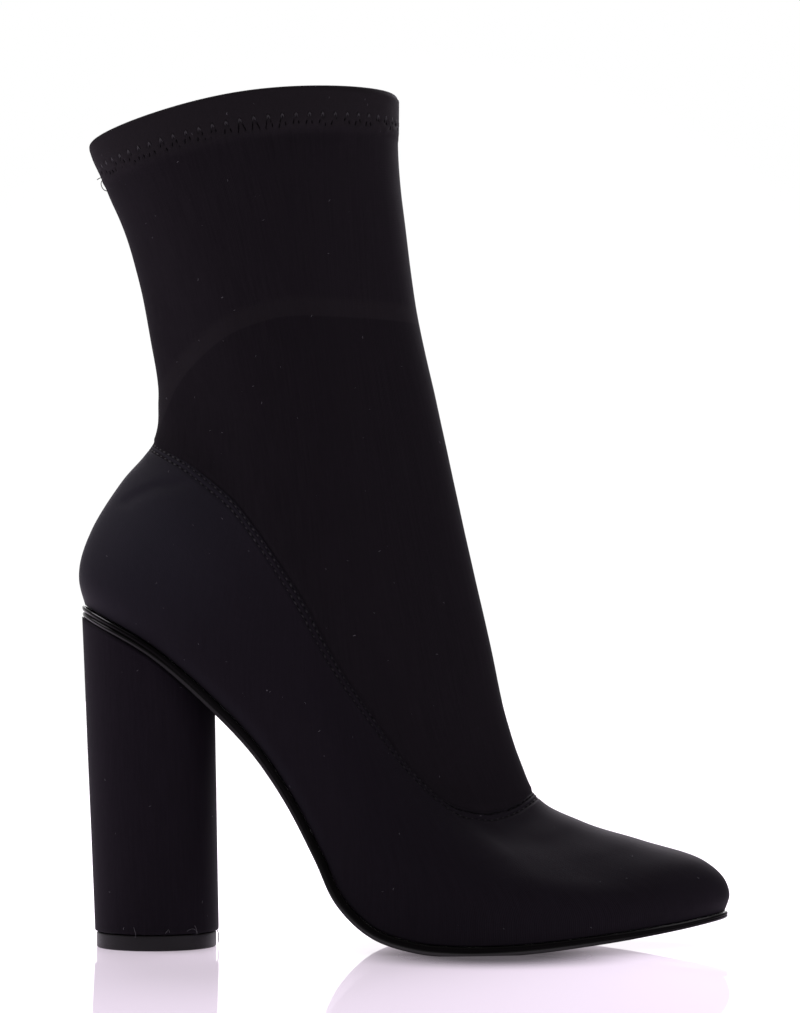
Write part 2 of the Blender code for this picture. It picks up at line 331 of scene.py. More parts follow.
class BootForm:
    """The last: one surface over a turn round the boot and a level up its wall.

    A turn runs from 0 at the centre back, along the outer side to 0.5 at the toe, and back along the inner
    side. A level runs from 0 at the sole's edge, over SEAM_LEVEL at the lap seam, to 1 at the collar.
    """

    def __init__(self) -> None:
        """Fit the lines and sections."""
        self.feather, self.sole_length = line_through(FEATHER_LINE)
        self.seam, _ = line_through(SEAM_LINE)
        self.collar, _ = line_through(COLLAR_LINE)
        self.back = SmoothCurve([row.level for row in BACK_LINE], [row[1:] for row in BACK_LINE])
        self.front = SmoothCurve([row.level for row in FRONT_LINE], [row[1:] for row in FRONT_LINE])
        self.sections = SmoothCurve([row.level for row in SECTIONS], [row[2:] for row in SECTIONS])
        self.middles = SmoothCurve(*zip(*MIDDLE_LINE))
        self.thickness = SmoothCurve(*zip(*SOLE_THICKNESS))
        self.stations = SmoothCurve(WIDTH_SHARES, np.eye(len(WIDTH_SHARES)))
        self.turn_steps, self.turn_shares = self.even_shares()

    def three_lines(self, share: Array, level: Array) -> Array:
        """Read the parabola through feather, seam and collar lines.

        Args:
            share: Shares of the lines' lengths.
            level: Levels up the wall.

        Returns:
            The (x, z) at each.
        """
        level = np.asarray(level, dtype=float)[..., None]
        feather_part = (level - SEAM_LEVEL) * (level - 1) / SEAM_LEVEL
        seam_part = level * (1 - level) / (SEAM_LEVEL * (1 - SEAM_LEVEL))
        collar_part = level * (level - SEAM_LEVEL) / (1 - SEAM_LEVEL)
        return (
            feather_part * self.feather(share)
            + seam_part * self.seam(share)
            + collar_part * self.collar(share)
        )

    def side_view(self, share: Array, level: Array) -> Array:
        """Read the side view, drawn onto the back and front lines at its ends.

        Args:
            share: Shares from the back, 0, to the front, 1.
            level: Levels up the wall.

        Returns:
            The (x, z) at each.
        """
        none, full = np.zeros_like(share), np.ones_like(share)
        at_back = self.back(level) - self.three_lines(none, level)
        at_front = self.front(level) - self.three_lines(full, level)
        share_column = share[..., None]
        return (
            self.three_lines(share, level)
            + (1 - share_column) ** PROFILE_REACH * at_back
            + share_column**PROFILE_REACH * at_front
        )

    def taut_view(self, share: Array, level: Array) -> Array:
        """Read the side view averaged up and down the wall, as taut cloth lies, with its front line kept.

        Args:
            share: Shares from the back, 0, to the front, 1.
            level: Levels up the wall.

        Returns:
            The (x, z) at each.
        """
        reach = TAUT_REACH * ease(level, *TAUT_FROM) * (1 - ease(level, *TAUT_TO))
        inward = reach * ease(share, *TAUT_SHARES)
        flat, front = 0.0, -self.front(level)
        for tap, weight in enumerate(TAUT_TAPS):
            step = tap - len(TAUT_TAPS) // 2
            part = weight / sum(TAUT_TAPS)
            flat = flat + part * self.side_view(share, np.clip(level + step * inward, 0.0, 1.0))
            front = front + part * self.front(np.clip(level + step * reach, 0.0, 1.0))
        return flat - ease(share, *TAUT_KEEP)[..., None] * front

    def half_width(self, share: Array, level: Array) -> Array:
        """Read the half-width of a level section.

        Args:
            share: Shares from the back to the front.
            level: Levels up the wall.

        Returns:
            The half-widths, rounded at the back and drawn in at the front.
        """
        heel, waist, ball, back_cap, front_cap, point, sharp = np.moveaxis(self.sections(level), -1, 0)
        along = (self.stations(share) * np.stack([heel, heel, waist, ball, ball], axis=-1)).sum(axis=-1)
        back = np.sqrt(1 - (1 - np.minimum(share / back_cap, 1.0)) ** 2)
        run_out = np.maximum(0.0, (share - 1 + front_cap) / front_cap)
        front = np.maximum(0.0, 1 - run_out**point) ** (1 / sharp)
        return along * back * front

    def middle(self, share: Array, level: Array) -> Array:
        """Return the y of the boot's middle, which swings inwards to the toe."""
        return self.middles(share) * (1 - ease(level, SWING_FULL_LEVEL, SWING_END_LEVEL))

    def even_shares(self) -> tuple[Array, Array]:
        """Space shares evenly round half the sole's outline, closer where its face bends.

        Returns:
            Rising steps from 0 to 1, and the share at each.
        """
        shares = (1 - np.cos(np.linspace(0.0, math.pi, FINE_STEPS + 1))) / 2
        widths = self.half_width(shares, np.zeros_like(shares))
        runs = np.diff(self.feather(shares), axis=0)
        bends = np.abs(np.diff(np.arctan2(runs[:, 1], runs[:, 0]), append=0.0))
        lengths = np.hypot(np.diff(shares) * self.sole_length, np.diff(widths)) + BEND_CROWDING * bends
        reached = np.concatenate([[0.0], np.cumsum(lengths)])
        return reached / reached[-1], shares

    def way_round(self, turn: Array) -> tuple[Array, Array]:
        """Split turns into shares and sides.

        Args:
            turn: Turns round the boot.

        Returns:
            The shares, and the sides as -1 for outer and 1 for inner.
        """
        turn = np.asarray(turn, dtype=float) % 1.0
        share = np.interp(2 * np.minimum(turn, 1 - turn), self.turn_steps, self.turn_shares)
        return share, np.where(turn < 0.5, -1.0, 1.0)

    def wall(self, turn: Array, level: Array) -> Array:
        """Return the points of the outer wall at turns and levels."""
        turn, level = np.broadcast_arrays(np.asarray(turn, dtype=float), np.asarray(level, dtype=float))
        share, side = self.way_round(turn)
        flat = self.side_view(share, level)
        taut = (share > TAUT_SHARES[0]) & (level < TAUT_TO[1])
        flat[taut] = self.taut_view(share[taut], level[taut])
        y = self.middle(share, level) + side * self.half_width(share, level)
        return np.stack([flat[..., 0], y, flat[..., 1]], axis=-1)

    def outward(self, turn: Array, level: Array) -> Array:
        """Return the wall's outward directions at turns and levels."""
        around = self.wall(turn + TURN_STEP, level) - self.wall(turn - TURN_STEP, level)
        upward = self.wall(turn, level + LEVEL_STEP) - self.wall(turn, level - LEVEL_STEP)
        return unit(np.cross(around, upward))

    def off_wall(self, turn: Array, level: Array, offset: Array | float) -> Array:
        """Return points that stand out from the wall by offsets."""
        turn, level = np.broadcast_arrays(turn, level)
        return self.wall(turn, level) + self.outward(turn, level) * np.asarray(offset)[..., None]

    def levels_from(self, turn: Array, start: float, distances: Any) -> Array:
        """Find the levels at distances up the wall from a start level.

        Args:
            turn: Turns round the boot.
            start: The level to measure from.
            distances: Millimetres up the wall, negative down it, in a column for each turn or one for all.

        Returns:
            A row of levels for each distance.
        """
        levels = np.linspace(max(0.0, start - LEVEL_REACH), min(1.0, start + LEVEL_REACH), LEVEL_SAMPLES)
        places = self.wall(turn[None, :], levels[:, None])
        steps = np.linalg.norm(np.diff(places, axis=0), axis=-1)
        reached = np.concatenate([np.zeros((1, len(turn))), np.cumsum(steps, axis=0)])
        wanted = np.asarray(distances, dtype=float)
        if wanted.ndim == 1:
            wanted = np.repeat(wanted[:, None], len(turn), axis=1)
        found = np.empty(wanted.shape)
        for column in range(len(turn)):
            zero = np.interp(start, levels, reached[:, column])
            found[:, column] = np.interp(wanted[:, column] + zero, reached[:, column], levels)
        return found

    def flat_edge(self, turn: Array) -> Array:
        """Return the feather line laid flat: the distances along the sole and the y at turns."""
        share, side = self.way_round(turn)
        ground = np.zeros_like(share)
        y = self.middle(share, ground) + side * self.half_width(share, ground)
        return np.stack([share * self.sole_length, y], axis=-1)

    def sole_outline(self, turn: Array, grow: Array | float) -> tuple[Array, Array]:
        """Read the sole's outline, grown outwards.

        Args:
            turn: Turns round the sole.
            grow: Millimetres out from the feather line.

        Returns:
            The distances along the sole and the y.
        """
        run = unit(self.flat_edge(turn + TURN_STEP) - self.flat_edge(turn - TURN_STEP))
        aside = np.stack([run[..., 1], -run[..., 0]], axis=-1)
        grown = self.flat_edge(turn) + np.asarray(grow)[..., None] * aside
        return grown[..., 0], grown[..., 1]

    def under_feather(self, along: Array, y: Array, drop: Array) -> Array:
        """Return the points that lie a drop below the feather line's face.

        Args:
            along: Distances along the sole.
            y: Places across it.
            drop: Millimetres below the face.

        Returns:
            The points.
        """
        share = along / self.sole_length
        slope = unit(self.feather(share + SLOPE_STEP) - self.feather(share - SLOPE_STEP))
        square = ease(share, 0.0, SQUARE_CUT_SHARE)
        down = np.stack([slope[..., 1] * square, -1 + square * (1 - slope[..., 0])], axis=-1)
        place = self.feather(share) + unit(down) * np.asarray(drop)[..., None]
        return np.stack([place[..., 0], y, place[..., 1]], axis=-1)

    def slab(
        self, turn: Array, reach: float, grow: Array | float, drop: Array | float, depth: float
    ) -> Array:
        """Return one ring of a slab that follows the sole.

        Args:
            turn: Turns round the slab.
            reach: 1 at the slab's edge and 0 on its spine.
            grow: Millimetres out from the feather line.
            drop: Millimetres below the feather line.
            depth: A share of the sole's thickness that is added to the drop.

        Returns:
            The ring's points.
        """
        along, y = self.sole_outline(turn, grow)
        spine = np.clip(along / self.sole_length, SPINE_START, SPINE_END)
        along = reach * along + (1 - reach) * spine * self.sole_length
        y = reach * y + (1 - reach) * self.middle(spine, np.zeros_like(spine))
        thickness = self.thickness(np.clip(along / self.sole_length, 0.0, 1.0))
        return self.under_feather(along, y, drop + depth * thickness)

    def underside(self, x: Array, gap: float) -> Array:
        """Return the heights of the sole's underside, less a gap, at places along X."""
        shares = np.linspace(*HEEL_SHARES, FINE_STEPS)
        drop = SOLE_GAP + self.thickness(np.maximum(shares, 0.0)) + gap
        place = self.under_feather(shares * self.sole_length, np.zeros_like(shares), drop)
        return np.interp(x, place[:, 0], place[:, 2])


@dataclass(frozen=True)
class Crease:
    """A soft line in the cloth, drawn in the side view and alike on both sides.

    Attributes:
        name: What it is.
        fold: How it stands.
        line: Its points, (x, z), from back to front.
        height: Millimetres that it stands out or lies in.
        above: Width of its slope above the line.
        below: Width of its slope below the line.
        fades: Shares of its length over which its back and front ends die away.
    """

    name: str
    fold: Fold
    line: tuple[tuple[float, float], ...]
    height: float
    above: float
    below: float
    fades: tuple[float, float]

    STEPS = 90
    DRAPE = 1.4

    def read(self, places: Array) -> tuple[Array, Array]:
        """Measure points against the line.

        Args:
            places: The points.

        Returns:
            Their distances above the line, negative below it, and the shares of its length beside them.
        """
        steps = np.linspace(0.0, 1.0, self.STEPS)
        path = SmoothCurve(np.linspace(0.0, 1.0, len(self.line)), self.line)(steps)
        flat = places[..., (0, 2)].reshape(-1, 1, 2)
        run = np.diff(path, axis=0)
        gaps = flat - path[None, :-1]
        part = np.clip((gaps * run).sum(axis=-1) / (run * run).sum(axis=-1), 0.0, 1.0)
        gaps = gaps - part[..., None] * run
        distance = np.linalg.norm(gaps, axis=-1)
        nearest = distance.argmin(axis=1)
        every = np.arange(len(nearest))
        gap, along = gaps[every, nearest], run[nearest]
        side = np.where(along[:, 0] * gap[:, 1] - along[:, 1] * gap[:, 0] > 0, 1.0, -1.0)
        share = (nearest + part[every, nearest]) / (self.STEPS - 1)
        return (side * distance[every, nearest]).reshape(places.shape[:-1]), share.reshape(places.shape[:-1])

    def relief(self, places: Array) -> Array:
        """Work out how far the cloth stands out.

        Args:
            places: The points.

        Returns:
            Millimetres out from the last.
        """
        above, share = self.read(places)
        if self.fold is Fold.STEP:
            drape = np.clip(1 - above / self.above, 0.0, 1.0) ** self.DRAPE
            shape = np.where(above > 0, drape, 1 - ease(-above, 0.0, self.below))
        else:
            shape = bell(above, np.where(above > 0, self.above, self.below))
        if self.fold is Fold.TROUGH:
            shape = -shape
        for where, fade in zip((share, 1 - share), self.fades):
            if fade > 0:
                shape = shape * ease(where, 0.0, fade)
        return self.height * shape


INNER_STAY = Crease(
    "edge of the inner stay, showing through the sock",
    Fold.STEP,
    (
        (-4.0, 168.0), (0.0, 174.0), (3.6, 181.0), (7.4, 188.2), (14.2, 195.6), (24.7, 203.1),
        (35.3, 207.2), (46.2, 209.4), (67.2, 209.8), (100.0, 210.0),
    ),
    height=0.6,
    above=6.5,
    below=30.0,
    fades=(0.0, 0.35),
)
SHAFT_CREASES = (
    INNER_STAY,
    Crease(
        "soft fold in front of the tendon",
        Fold.RIDGE,
        ((13.0, 176.0), (20.0, 171.5), (28.0, 166.0), (36.0, 160.0)),
        height=0.45,
        above=3.2,
        below=4.0,
        fades=(0.35, 0.35),
    ),
    Crease(
        "dent under the hem",
        Fold.TROUGH,
        ((30.0, 268.0), (42.0, 270.0), (54.0, 271.2), (66.0, 272.0)),
        height=0.7,
        above=2.2,
        below=5.0,
        fades=(0.4, 0.4),
    ),
    Crease(
        "hollow under the hem at the back",
        Fold.TROUGH,
        ((-26.0, 262.5), (-18.0, 260.0), (-6.0, 257.5), (10.0, 256.0)),
        height=1.05,
        above=4.2,
        below=6.5,
        fades=(0.0, 0.75),
    ),
)
FOOT_CREASES = (
    Crease(
        "top edge of the heel counter",
        Fold.TROUGH,
        (
            (-13.5, 147.6), (-8.2, 150.8), (-4.6, 152.7), (-0.1, 154.4), (5.0, 155.2), (10.0, 155.4),
            (15.0, 155.2),
        ),
        height=0.75,
        above=1.0,
        below=2.6,
        fades=(0.12, 0.35),
    ),
)

SLOW_SHARE = 0.75


def undulation(places: Array, height: float) -> Array:
    """Return the faint unevenness of a hand-pulled cloth, in millimetres."""
    x, y, z = np.moveaxis(places, -1, 0)
    # Two patterns of crossing waves, with their lengths in millimetres and phases in radians
    slow = np.sin(x / 11.0 + 1.3 * np.sin(z / 23.0) + y / 50.0) * np.sin(z / 17.0 + x / 41.0 + 0.6)
    quick = np.sin(x / 5.3 - z / 7.9 + 0.9) * np.sin(z / 6.1 + y / 9.0 + 2.0)
    return height * (SLOW_SHARE * slow + (1 - SLOW_SHARE) * quick)


class BackSeam:
    """The closing seam up the centre back: a narrow groove between two faint welts."""

    GROOVE = 0.32
    GROOVE_WIDTH = 0.45
    WELT = 0.16
    WELT_PLACE = 1.5
    WELT_WIDTH = 0.8
    TURNS = (0.0003, 0.0007, 0.0011, 0.0016, 0.0022, 0.0030)
    REACH = 0.05

    @classmethod
    def turns(cls, count: int) -> Array:
        """Return turns round the boot, even but closer beside the centre back."""
        fine = np.array(cls.TURNS)
        return np.unique(np.concatenate([np.arange(count) / count, fine, 1 - fine]))

    @classmethod
    def relief(cls, turn: Array, places: Array) -> Array:
        """Work out the seam's relief.

        Args:
            turn: The turn of each point.
            places: The points.

        Returns:
            Millimetres out from the last.
        """
        across = np.abs(places[..., 1])
        welt = cls.WELT * bell(across - cls.WELT_PLACE, cls.WELT_WIDTH)
        shape = welt - cls.GROOVE * bell(across, cls.GROOVE_WIDTH)
        return np.where(np.minimum(turn, 1 - turn) < cls.REACH, shape, 0.0)


@dataclass
class LapSeam:
    """The lap of the foot panel's folded edge over the sock, with its two rows of stitches.

    Attributes:
        form: The last.
        rows: Distances of the stitch rows below the folded edge.
        pitch: Distance between stitches.
        stitch: Length of a stitch.
        fold: Half the thickness of the folded edge.
        proud: How far the folded edge stands out.
        sink: How deep a stitch row pulls the cloth in.
    """

    form: BootForm
    rows: tuple[float, float] = (0.75, 2.55)
    pitch: float = 2.5
    stitch: float = 2.35
    fold: float = 0.28
    proud: float = 0.26
    sink: float = 0.4

    LIFT = (
        Reading(0.0, 1.4), Reading(0.05, 0.9), Reading(0.11, 1.5), Reading(0.19, 3.4), Reading(0.27, 3.6),
        Reading(0.48, 3.0), Reading(0.54, 2.8), Reading(0.60, 2.3), Reading(0.65, 1.7),
        Reading(0.69, 0.4), Reading(0.73, -1.2), Reading(0.76, -2.4), Reading(0.79, -2.5),
        Reading(0.82, -2.1), Reading(0.85, -1.6), Reading(0.88, -0.8), Reading(0.91, 0.4),
        Reading(0.94, 1.4), Reading(0.97, 2.0), Reading(1.0, 2.1),
    )
    LEAST_SQUARE = 0.32
    SWELL_END = (1.0, 9.0)
    ROW_WIDTH = 0.55
    TUCK = 0.5
    TUCK_END = (0.1, 1.6)

    def levels(self, turn: Array, distances: Sequence[float]) -> Array:
        """Find the levels at distances above the folded edge, measured square to it.

        Args:
            turn: Turns round the boot.
            distances: Millimetres above the edge, or below it where negative.

        Returns:
            A row of levels for each distance.
        """
        form = self.form
        around = form.wall(turn + TURN_STEP, SEAM_LEVEL) - form.wall(turn - TURN_STEP, SEAM_LEVEL)
        upward = form.wall(turn, SEAM_LEVEL + LEVEL_STEP) - form.wall(turn, SEAM_LEVEL - LEVEL_STEP)
        square = np.linalg.norm(np.cross(unit(around), unit(upward)), axis=-1)
        lift = SmoothCurve(*zip(*self.LIFT))(form.way_round(turn)[0])
        wanted = np.asarray(distances, dtype=float)[:, None] + lift
        return form.levels_from(turn, SEAM_LEVEL, wanted / np.maximum(square, self.LEAST_SQUARE))

    def panel_offset(self, distance: Array) -> Array:
        """Return how far the panel stands out at distances below its edge."""
        swell = self.proud * (1 - ease(distance, *self.SWELL_END))
        return swell - sum(self.sink * bell(distance - row, self.ROW_WIDTH) for row in self.rows)

    def sock_offset(self, distance: Array) -> Array:
        """Return how far the sock stands out at distances above the panel's edge."""
        return -self.TUCK * (1 - ease(distance, *self.TUCK_END))

    def stitch_frames(self, panel: "FootPanel", row: float) -> tuple[Array, Array, Array]:
        """Place the stitches of one row.

        Args:
            panel: The foot panel that they lie on.
            row: The row's distance below the edge.

        Returns:
            The stitches' centres, their directions and the cloth's outward directions.
        """
        turns = np.linspace(0.0, 1.0, FINE_STEPS, endpoint=False)
        levels = self.levels(turns, [-row])[0]
        out = self.form.outward(turns, levels)
        path = panel.surface(turns, levels, np.full_like(turns, row))
        return evenly_along(path, out, self.pitch)


def columns_at(where: Array, reached: Array, values: Array) -> Array:
    """Return rows of values, read at places between the places that they were reached at."""
    return np.stack([np.interp(where, reached, column) for column in values.T], axis=-1)


def evenly_along(path: Array, out: Array, pitch: float) -> tuple[Array, Array, Array]:
    """Space points evenly along a closed path.

    Args:
        path: The path's points.
        out: An outward direction at each.
        pitch: The distance wanted between points.

    Returns:
        The points, the path's directions there and the outward directions there.
    """
    closed = np.concatenate([path, path[:1]])
    closed_out = np.concatenate([out, out[:1]])
    reached = reached_along(closed)
    count = round(reached[-1] / pitch)
    where = (np.arange(count) + 0.5) * reached[-1] / count
    quarter = pitch / 4
    along = unit(columns_at(where + quarter, reached, closed) - columns_at(where - quarter, reached, closed))
    return columns_at(where, reached, closed), along, unit(columns_at(where, reached, closed_out))


@dataclass
class CollarHem:
    """The turned hem of the collar and its zigzag stitch.

    Attributes:
        form: The last.
        depth: Distance of the hem's raw edge below the collar.
        proud: How far the doubled cloth stands out.
        peak: Distance of the zigzag's peaks below the collar.
        trough: Distance of its troughs below the collar.
        pitch: Distance between its peaks.
        spread: Share of the pitch between the feet of a peak's two legs.
        sink: How deep the thread pulls the cloth in.
    """

    form: BootForm
    depth: float = 14.4
    proud: float = 0.35
    peak: float = 9.0
    trough: float = 13.7
    pitch: float = 4.6
    spread: float = 0.66
    sink: float = 0.45

    POINTED = 0.88
    RAW_STEP = (-0.9, 1.6)
    PULL_WIDTH = 0.75
    LEAST_PULL = 0.3
    PULL_BY = 0.1

    def __post_init__(self) -> None:
        """Measure the hem round the collar."""
        turns = np.linspace(0.0, 1.0, FINE_STEPS + 1)
        levels = self.form.levels_from(turns, 1.0, [-(self.peak + self.trough) / 2])[0]
        path = self.form.wall(turns, levels)
        reached = reached_along(path)
        self.turns = turns
        self.reached = reached / reached[-1]
        self.count = round(reached[-1] / self.pitch)

    def phase(self, turn: Array) -> Array:
        """Return where in the zigzag's repeat each turn lies, from 0 to 1."""
        return np.interp(turn % 1.0, self.turns, self.reached) * self.count % 1.0

    def rising(self, turn: Array) -> Array:
        """Return how far up its peaks the thread is at turns, from 0, also between the peaks, to 1."""
        leg = np.clip(1 - np.abs(self.phase(turn) - 0.5) * 2 / self.spread, 0.0, 1.0)
        return 0.5 - np.arcsin(self.POINTED * np.cos(math.pi * leg)) / (2 * np.arcsin(self.POINTED))

    def thread_depth(self, turn: Array) -> Array:
        """Return the thread's distance below the collar at turns."""
        return self.trough + (self.peak - self.trough) * self.rising(turn)

    def offset(self, turn: Array, depth: Array) -> Array:
        """Work out the hem's relief.

        Args:
            turn: The turn of each point.
            depth: Its distance below the collar.

        Returns:
            Millimetres out from the last.
        """
        doubled = self.proud * (1 - ease(depth - self.depth, *self.RAW_STEP))
        pulled = self.sink * bell(depth - self.thread_depth(turn), self.PULL_WIDTH)
        share = self.LEAST_PULL + (1 - self.LEAST_PULL) * ease(self.rising(turn), 0.0, self.PULL_BY)
        return doubled - pulled * share


class Grid:
    """Rings of points that make a closed piece."""

    def __init__(
        self, turns: Array, rows: Array, closed: bool, marks: dict[str, Array] | None = None
    ) -> None:
        """Keep the points.

        Args:
            turns: The turn of each column.
            rows: The points in millimetres, by row and column.
            closed: Whether the last row joins the first, as round a wall.
            marks: Named values for the points.
        """
        self.turns = turns
        self.rows = rows
        self.closed = closed
        self.marks = marks or {}

    def cloth_places(self) -> tuple[Array, Array]:
        """Measure the cloth along a ring and up a column.

        Returns:
            The distance at each column and at each row, with one more at the end.
        """
        lines = self.rows[len(self.rows) // 4], self.rows[:, len(self.turns) // 4]
        return tuple(reached_along(np.concatenate([line, line[:1]])) for line in lines)

    def piece(self, name: str, materials: Sequence[Material], inner_from: int = 0) -> Obj:
        """Make the mesh.

        Args:
            name: The piece's name.
            materials: One material, or one for the outer rows and one for the inner.
            inner_from: The row from which the second material is used.

        Returns:
            The piece.
        """
        rows, columns = self.rows.shape[:2]
        row, column = np.meshgrid(
            np.arange(rows if self.closed else rows - 1), np.arange(columns), indexing="ij"
        )
        next_row, next_column = (row + 1) % rows, (column + 1) % columns
        corners = np.stack(
            [
                row * columns + column,
                row * columns + next_column,
                next_row * columns + next_column,
                next_row * columns + column,
            ],
            axis=-1,
        ).reshape(-1, 4)
        mesh = bpy.data.meshes.new(name)
        mesh.from_pydata((self.rows.reshape(-1, 3) * MM).tolist(), [], corners.tolist())
        along, up = self.cloth_places()
        u = np.stack([along[column], along[column + 1], along[column + 1], along[column]], axis=-1)
        v = np.stack([up[row], up[row], up[row + 1], up[row + 1]], axis=-1)
        layer = mesh.uv_layers.new(name=CLOTH_MAP)
        layer.uv.foreach_set("vector", (np.stack([u, v], axis=-1) * MM).astype(np.float32).ravel())
        for material in materials:
            mesh.materials.append(material)
        if len(materials) > 1:
            mesh.polygons.foreach_set("material_index", (row >= inner_from).astype(np.int32).ravel())
        write_values(mesh, OUTSIDE, np.repeat(np.arange(rows) < (inner_from or rows), columns))
        for label, values in self.marks.items():
            write_values(mesh, label, values)
        if not self.closed:
            self.merge(mesh)
        mesh.shade_smooth()
        return link(name, mesh)

    @staticmethod
    def merge(mesh: bpy.types.Mesh) -> None:
        """Close a mesh's poles and spine, and point its faces outwards."""
        work = bmesh.new()
        work.from_mesh(mesh)
        bmesh.ops.remove_doubles(work, verts=work.verts, dist=MERGE_DISTANCE)
        bmesh.ops.dissolve_degenerate(work, dist=MERGE_DISTANCE, edges=work.edges)
        bmesh.ops.recalc_face_normals(work, faces=work.faces)
        work.to_mesh(mesh)
        work.free()


def write_values(mesh: bpy.types.Mesh, name: str, values: Array) -> None:
    """Store a number on each of a mesh's points."""
    layer = mesh.attributes.new(name, "FLOAT", "POINT")
    layer.data.foreach_set("value", values.astype(np.float32).ravel())


def link(name: str, data: bpy.types.ID) -> Obj:
    """Make an object of data and put it in the scene."""
    made = bpy.data.objects.new(name, data)
    bpy.context.scene.collection.objects.link(made)
    return made


def mount(piece: Obj, slot: Slot, *nodes: str) -> Obj:
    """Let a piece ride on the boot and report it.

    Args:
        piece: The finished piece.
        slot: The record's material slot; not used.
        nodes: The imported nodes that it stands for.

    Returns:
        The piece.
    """
    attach(piece, BODY)
    if nodes:
        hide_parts(*nodes)
    triangles = sum(len(face.vertices) - 2 for face in piece.data.polygons)
    log.info("%s: %d triangles, stands for %s", piece.name, triangles, ", ".join(nodes) or "no node")
    return piece


class Wiring:
    """Adds nodes to a tree and joins their sockets."""

    def __init__(self, tree: bpy.types.NodeTree) -> None:
        """Keep the tree."""
        self.tree = tree

    def fill(self, node: bpy.types.Node, given: Given) -> None:
        """Set a node's inputs, or join them to other sockets.

        Args:
            node: The node.
            given: Values or sockets by the inputs' labels or places.
        """
        for label, value in given.items():
            target = node.inputs[label]
            if isinstance(value, bpy.types.NodeSocket):
                self.tree.links.new(value, target)
            else:
                target.default_value = (*value, 1.0) if target.type == "RGBA" else value

    def node(self, kind: str, given: Given | None = None, **settings: Any) -> Outputs:
        """Add a node.

        Args:
            kind: The node's type.
            given: Values or sockets by its inputs' labels or places.
            settings: Its properties.

        Returns:
            Its outputs.
        """
        made = self.tree.nodes.new(kind)
        for name, value in settings.items():
            setattr(made, name, value)
        self.fill(made, given or {})
        return made.outputs

    def math(self, operation: str, *values: Any) -> Socket:
        """Return the result of an operation on numbers or sockets."""
        return self.node("ShaderNodeMath", dict(enumerate(values)), operation=operation)[0]

    def times(self, first: Any, second: Any) -> Socket:
        """Return a product."""
        return self.math("MULTIPLY", first, second)

    def spread(self, value: Any, low: float, high: float) -> Socket:
        """Turn a value of 0 to 1 into one of low to high."""
        return self.node("ShaderNodeMapRange", {"Value": value, "To Min": low, "To Max": high})["Result"]

    def about(self, value: Any, middle: float, reach: float) -> Socket:
        """Turn a value of 0 to 1 into one that lies about a middle, by up to a reach."""
        return self.spread(value, middle - reach, middle + reach)

    def rise(self, value: Any, start: float, end: float) -> Socket:
        """Rise smoothly from 0 where the value is at its start to 1 at its end."""
        given = {"Value": value, "From Min": start, "From Max": end}
        return self.node("ShaderNodeMapRange", given, interpolation_type="SMOOTHSTEP")["Result"]

    def mix(self, factor: Any, first: Any, second: Any) -> Socket:
        """Mix two colours: the first at a factor of 0, the second at 1."""
        return self.node("ShaderNodeMix", {"Factor": factor, 6: first, 7: second}, data_type="RGBA")[2]

    def noise(self, place: Any, scale: float, detail: float) -> Socket:
        """Return a soft noise of a scale, with a number of finer layers."""
        return self.node("ShaderNodeTexNoise", {"Vector": place, "Scale": scale, "Detail": detail})["Fac"]

    def bump(self, height: Any, depth: float) -> Socket:
        """Return the normals of a relief that stands out by a depth in millimetres where its height is 1."""
        given = {"Strength": 1.0, "Distance": depth * MM, "Height": height}
        return self.node("ShaderNodeBump", given)["Normal"]

    def mark(self, name: str) -> Socket:
        """Return a value stored on the piece's points."""
        return self.node("ShaderNodeAttribute", attribute_name=name)["Fac"]

    def place(self) -> Socket:
        """Return the piece's own coordinates."""
        return self.node("ShaderNodeTexCoord")["Object"]

    def seen(self) -> Socket:
        """Return 1 for what the camera sees at once, and 0 for light on its way."""
        return self.node("ShaderNodeLightPath")["Is Camera Ray"]


class ShaderGroup:
    """A shader node group with named inputs and outputs, made once."""

    name = "group"
    inputs: dict[str, str] = {}
    outputs: tuple[str, ...] = ()

    def __init__(self) -> None:
        """Make the group's sockets and nodes."""
        self.tree = bpy.data.node_groups.new(self.name, "ShaderNodeTree")
        for label, kind in self.inputs.items():
            self.tree.interface.new_socket(label, in_out="INPUT", socket_type=kind)
        for label in self.outputs:
            self.tree.interface.new_socket(label, in_out="OUTPUT", socket_type=VALUE)
        wiring = Wiring(self.tree)
        wiring.node("NodeGroupOutput", self.wire(wiring, wiring.node("NodeGroupInput")))

    def wire(self, w: Wiring, given: Outputs) -> Given:
        """Add the nodes, which each group has of its own, and return the outputs' sockets."""
        return {}

    def put(self, w: Wiring, **values: Any) -> Outputs:
        """Put the group in a material, with a value or socket for each input, and return its outputs."""
        return w.node("ShaderNodeGroup", values, node_tree=self.tree)


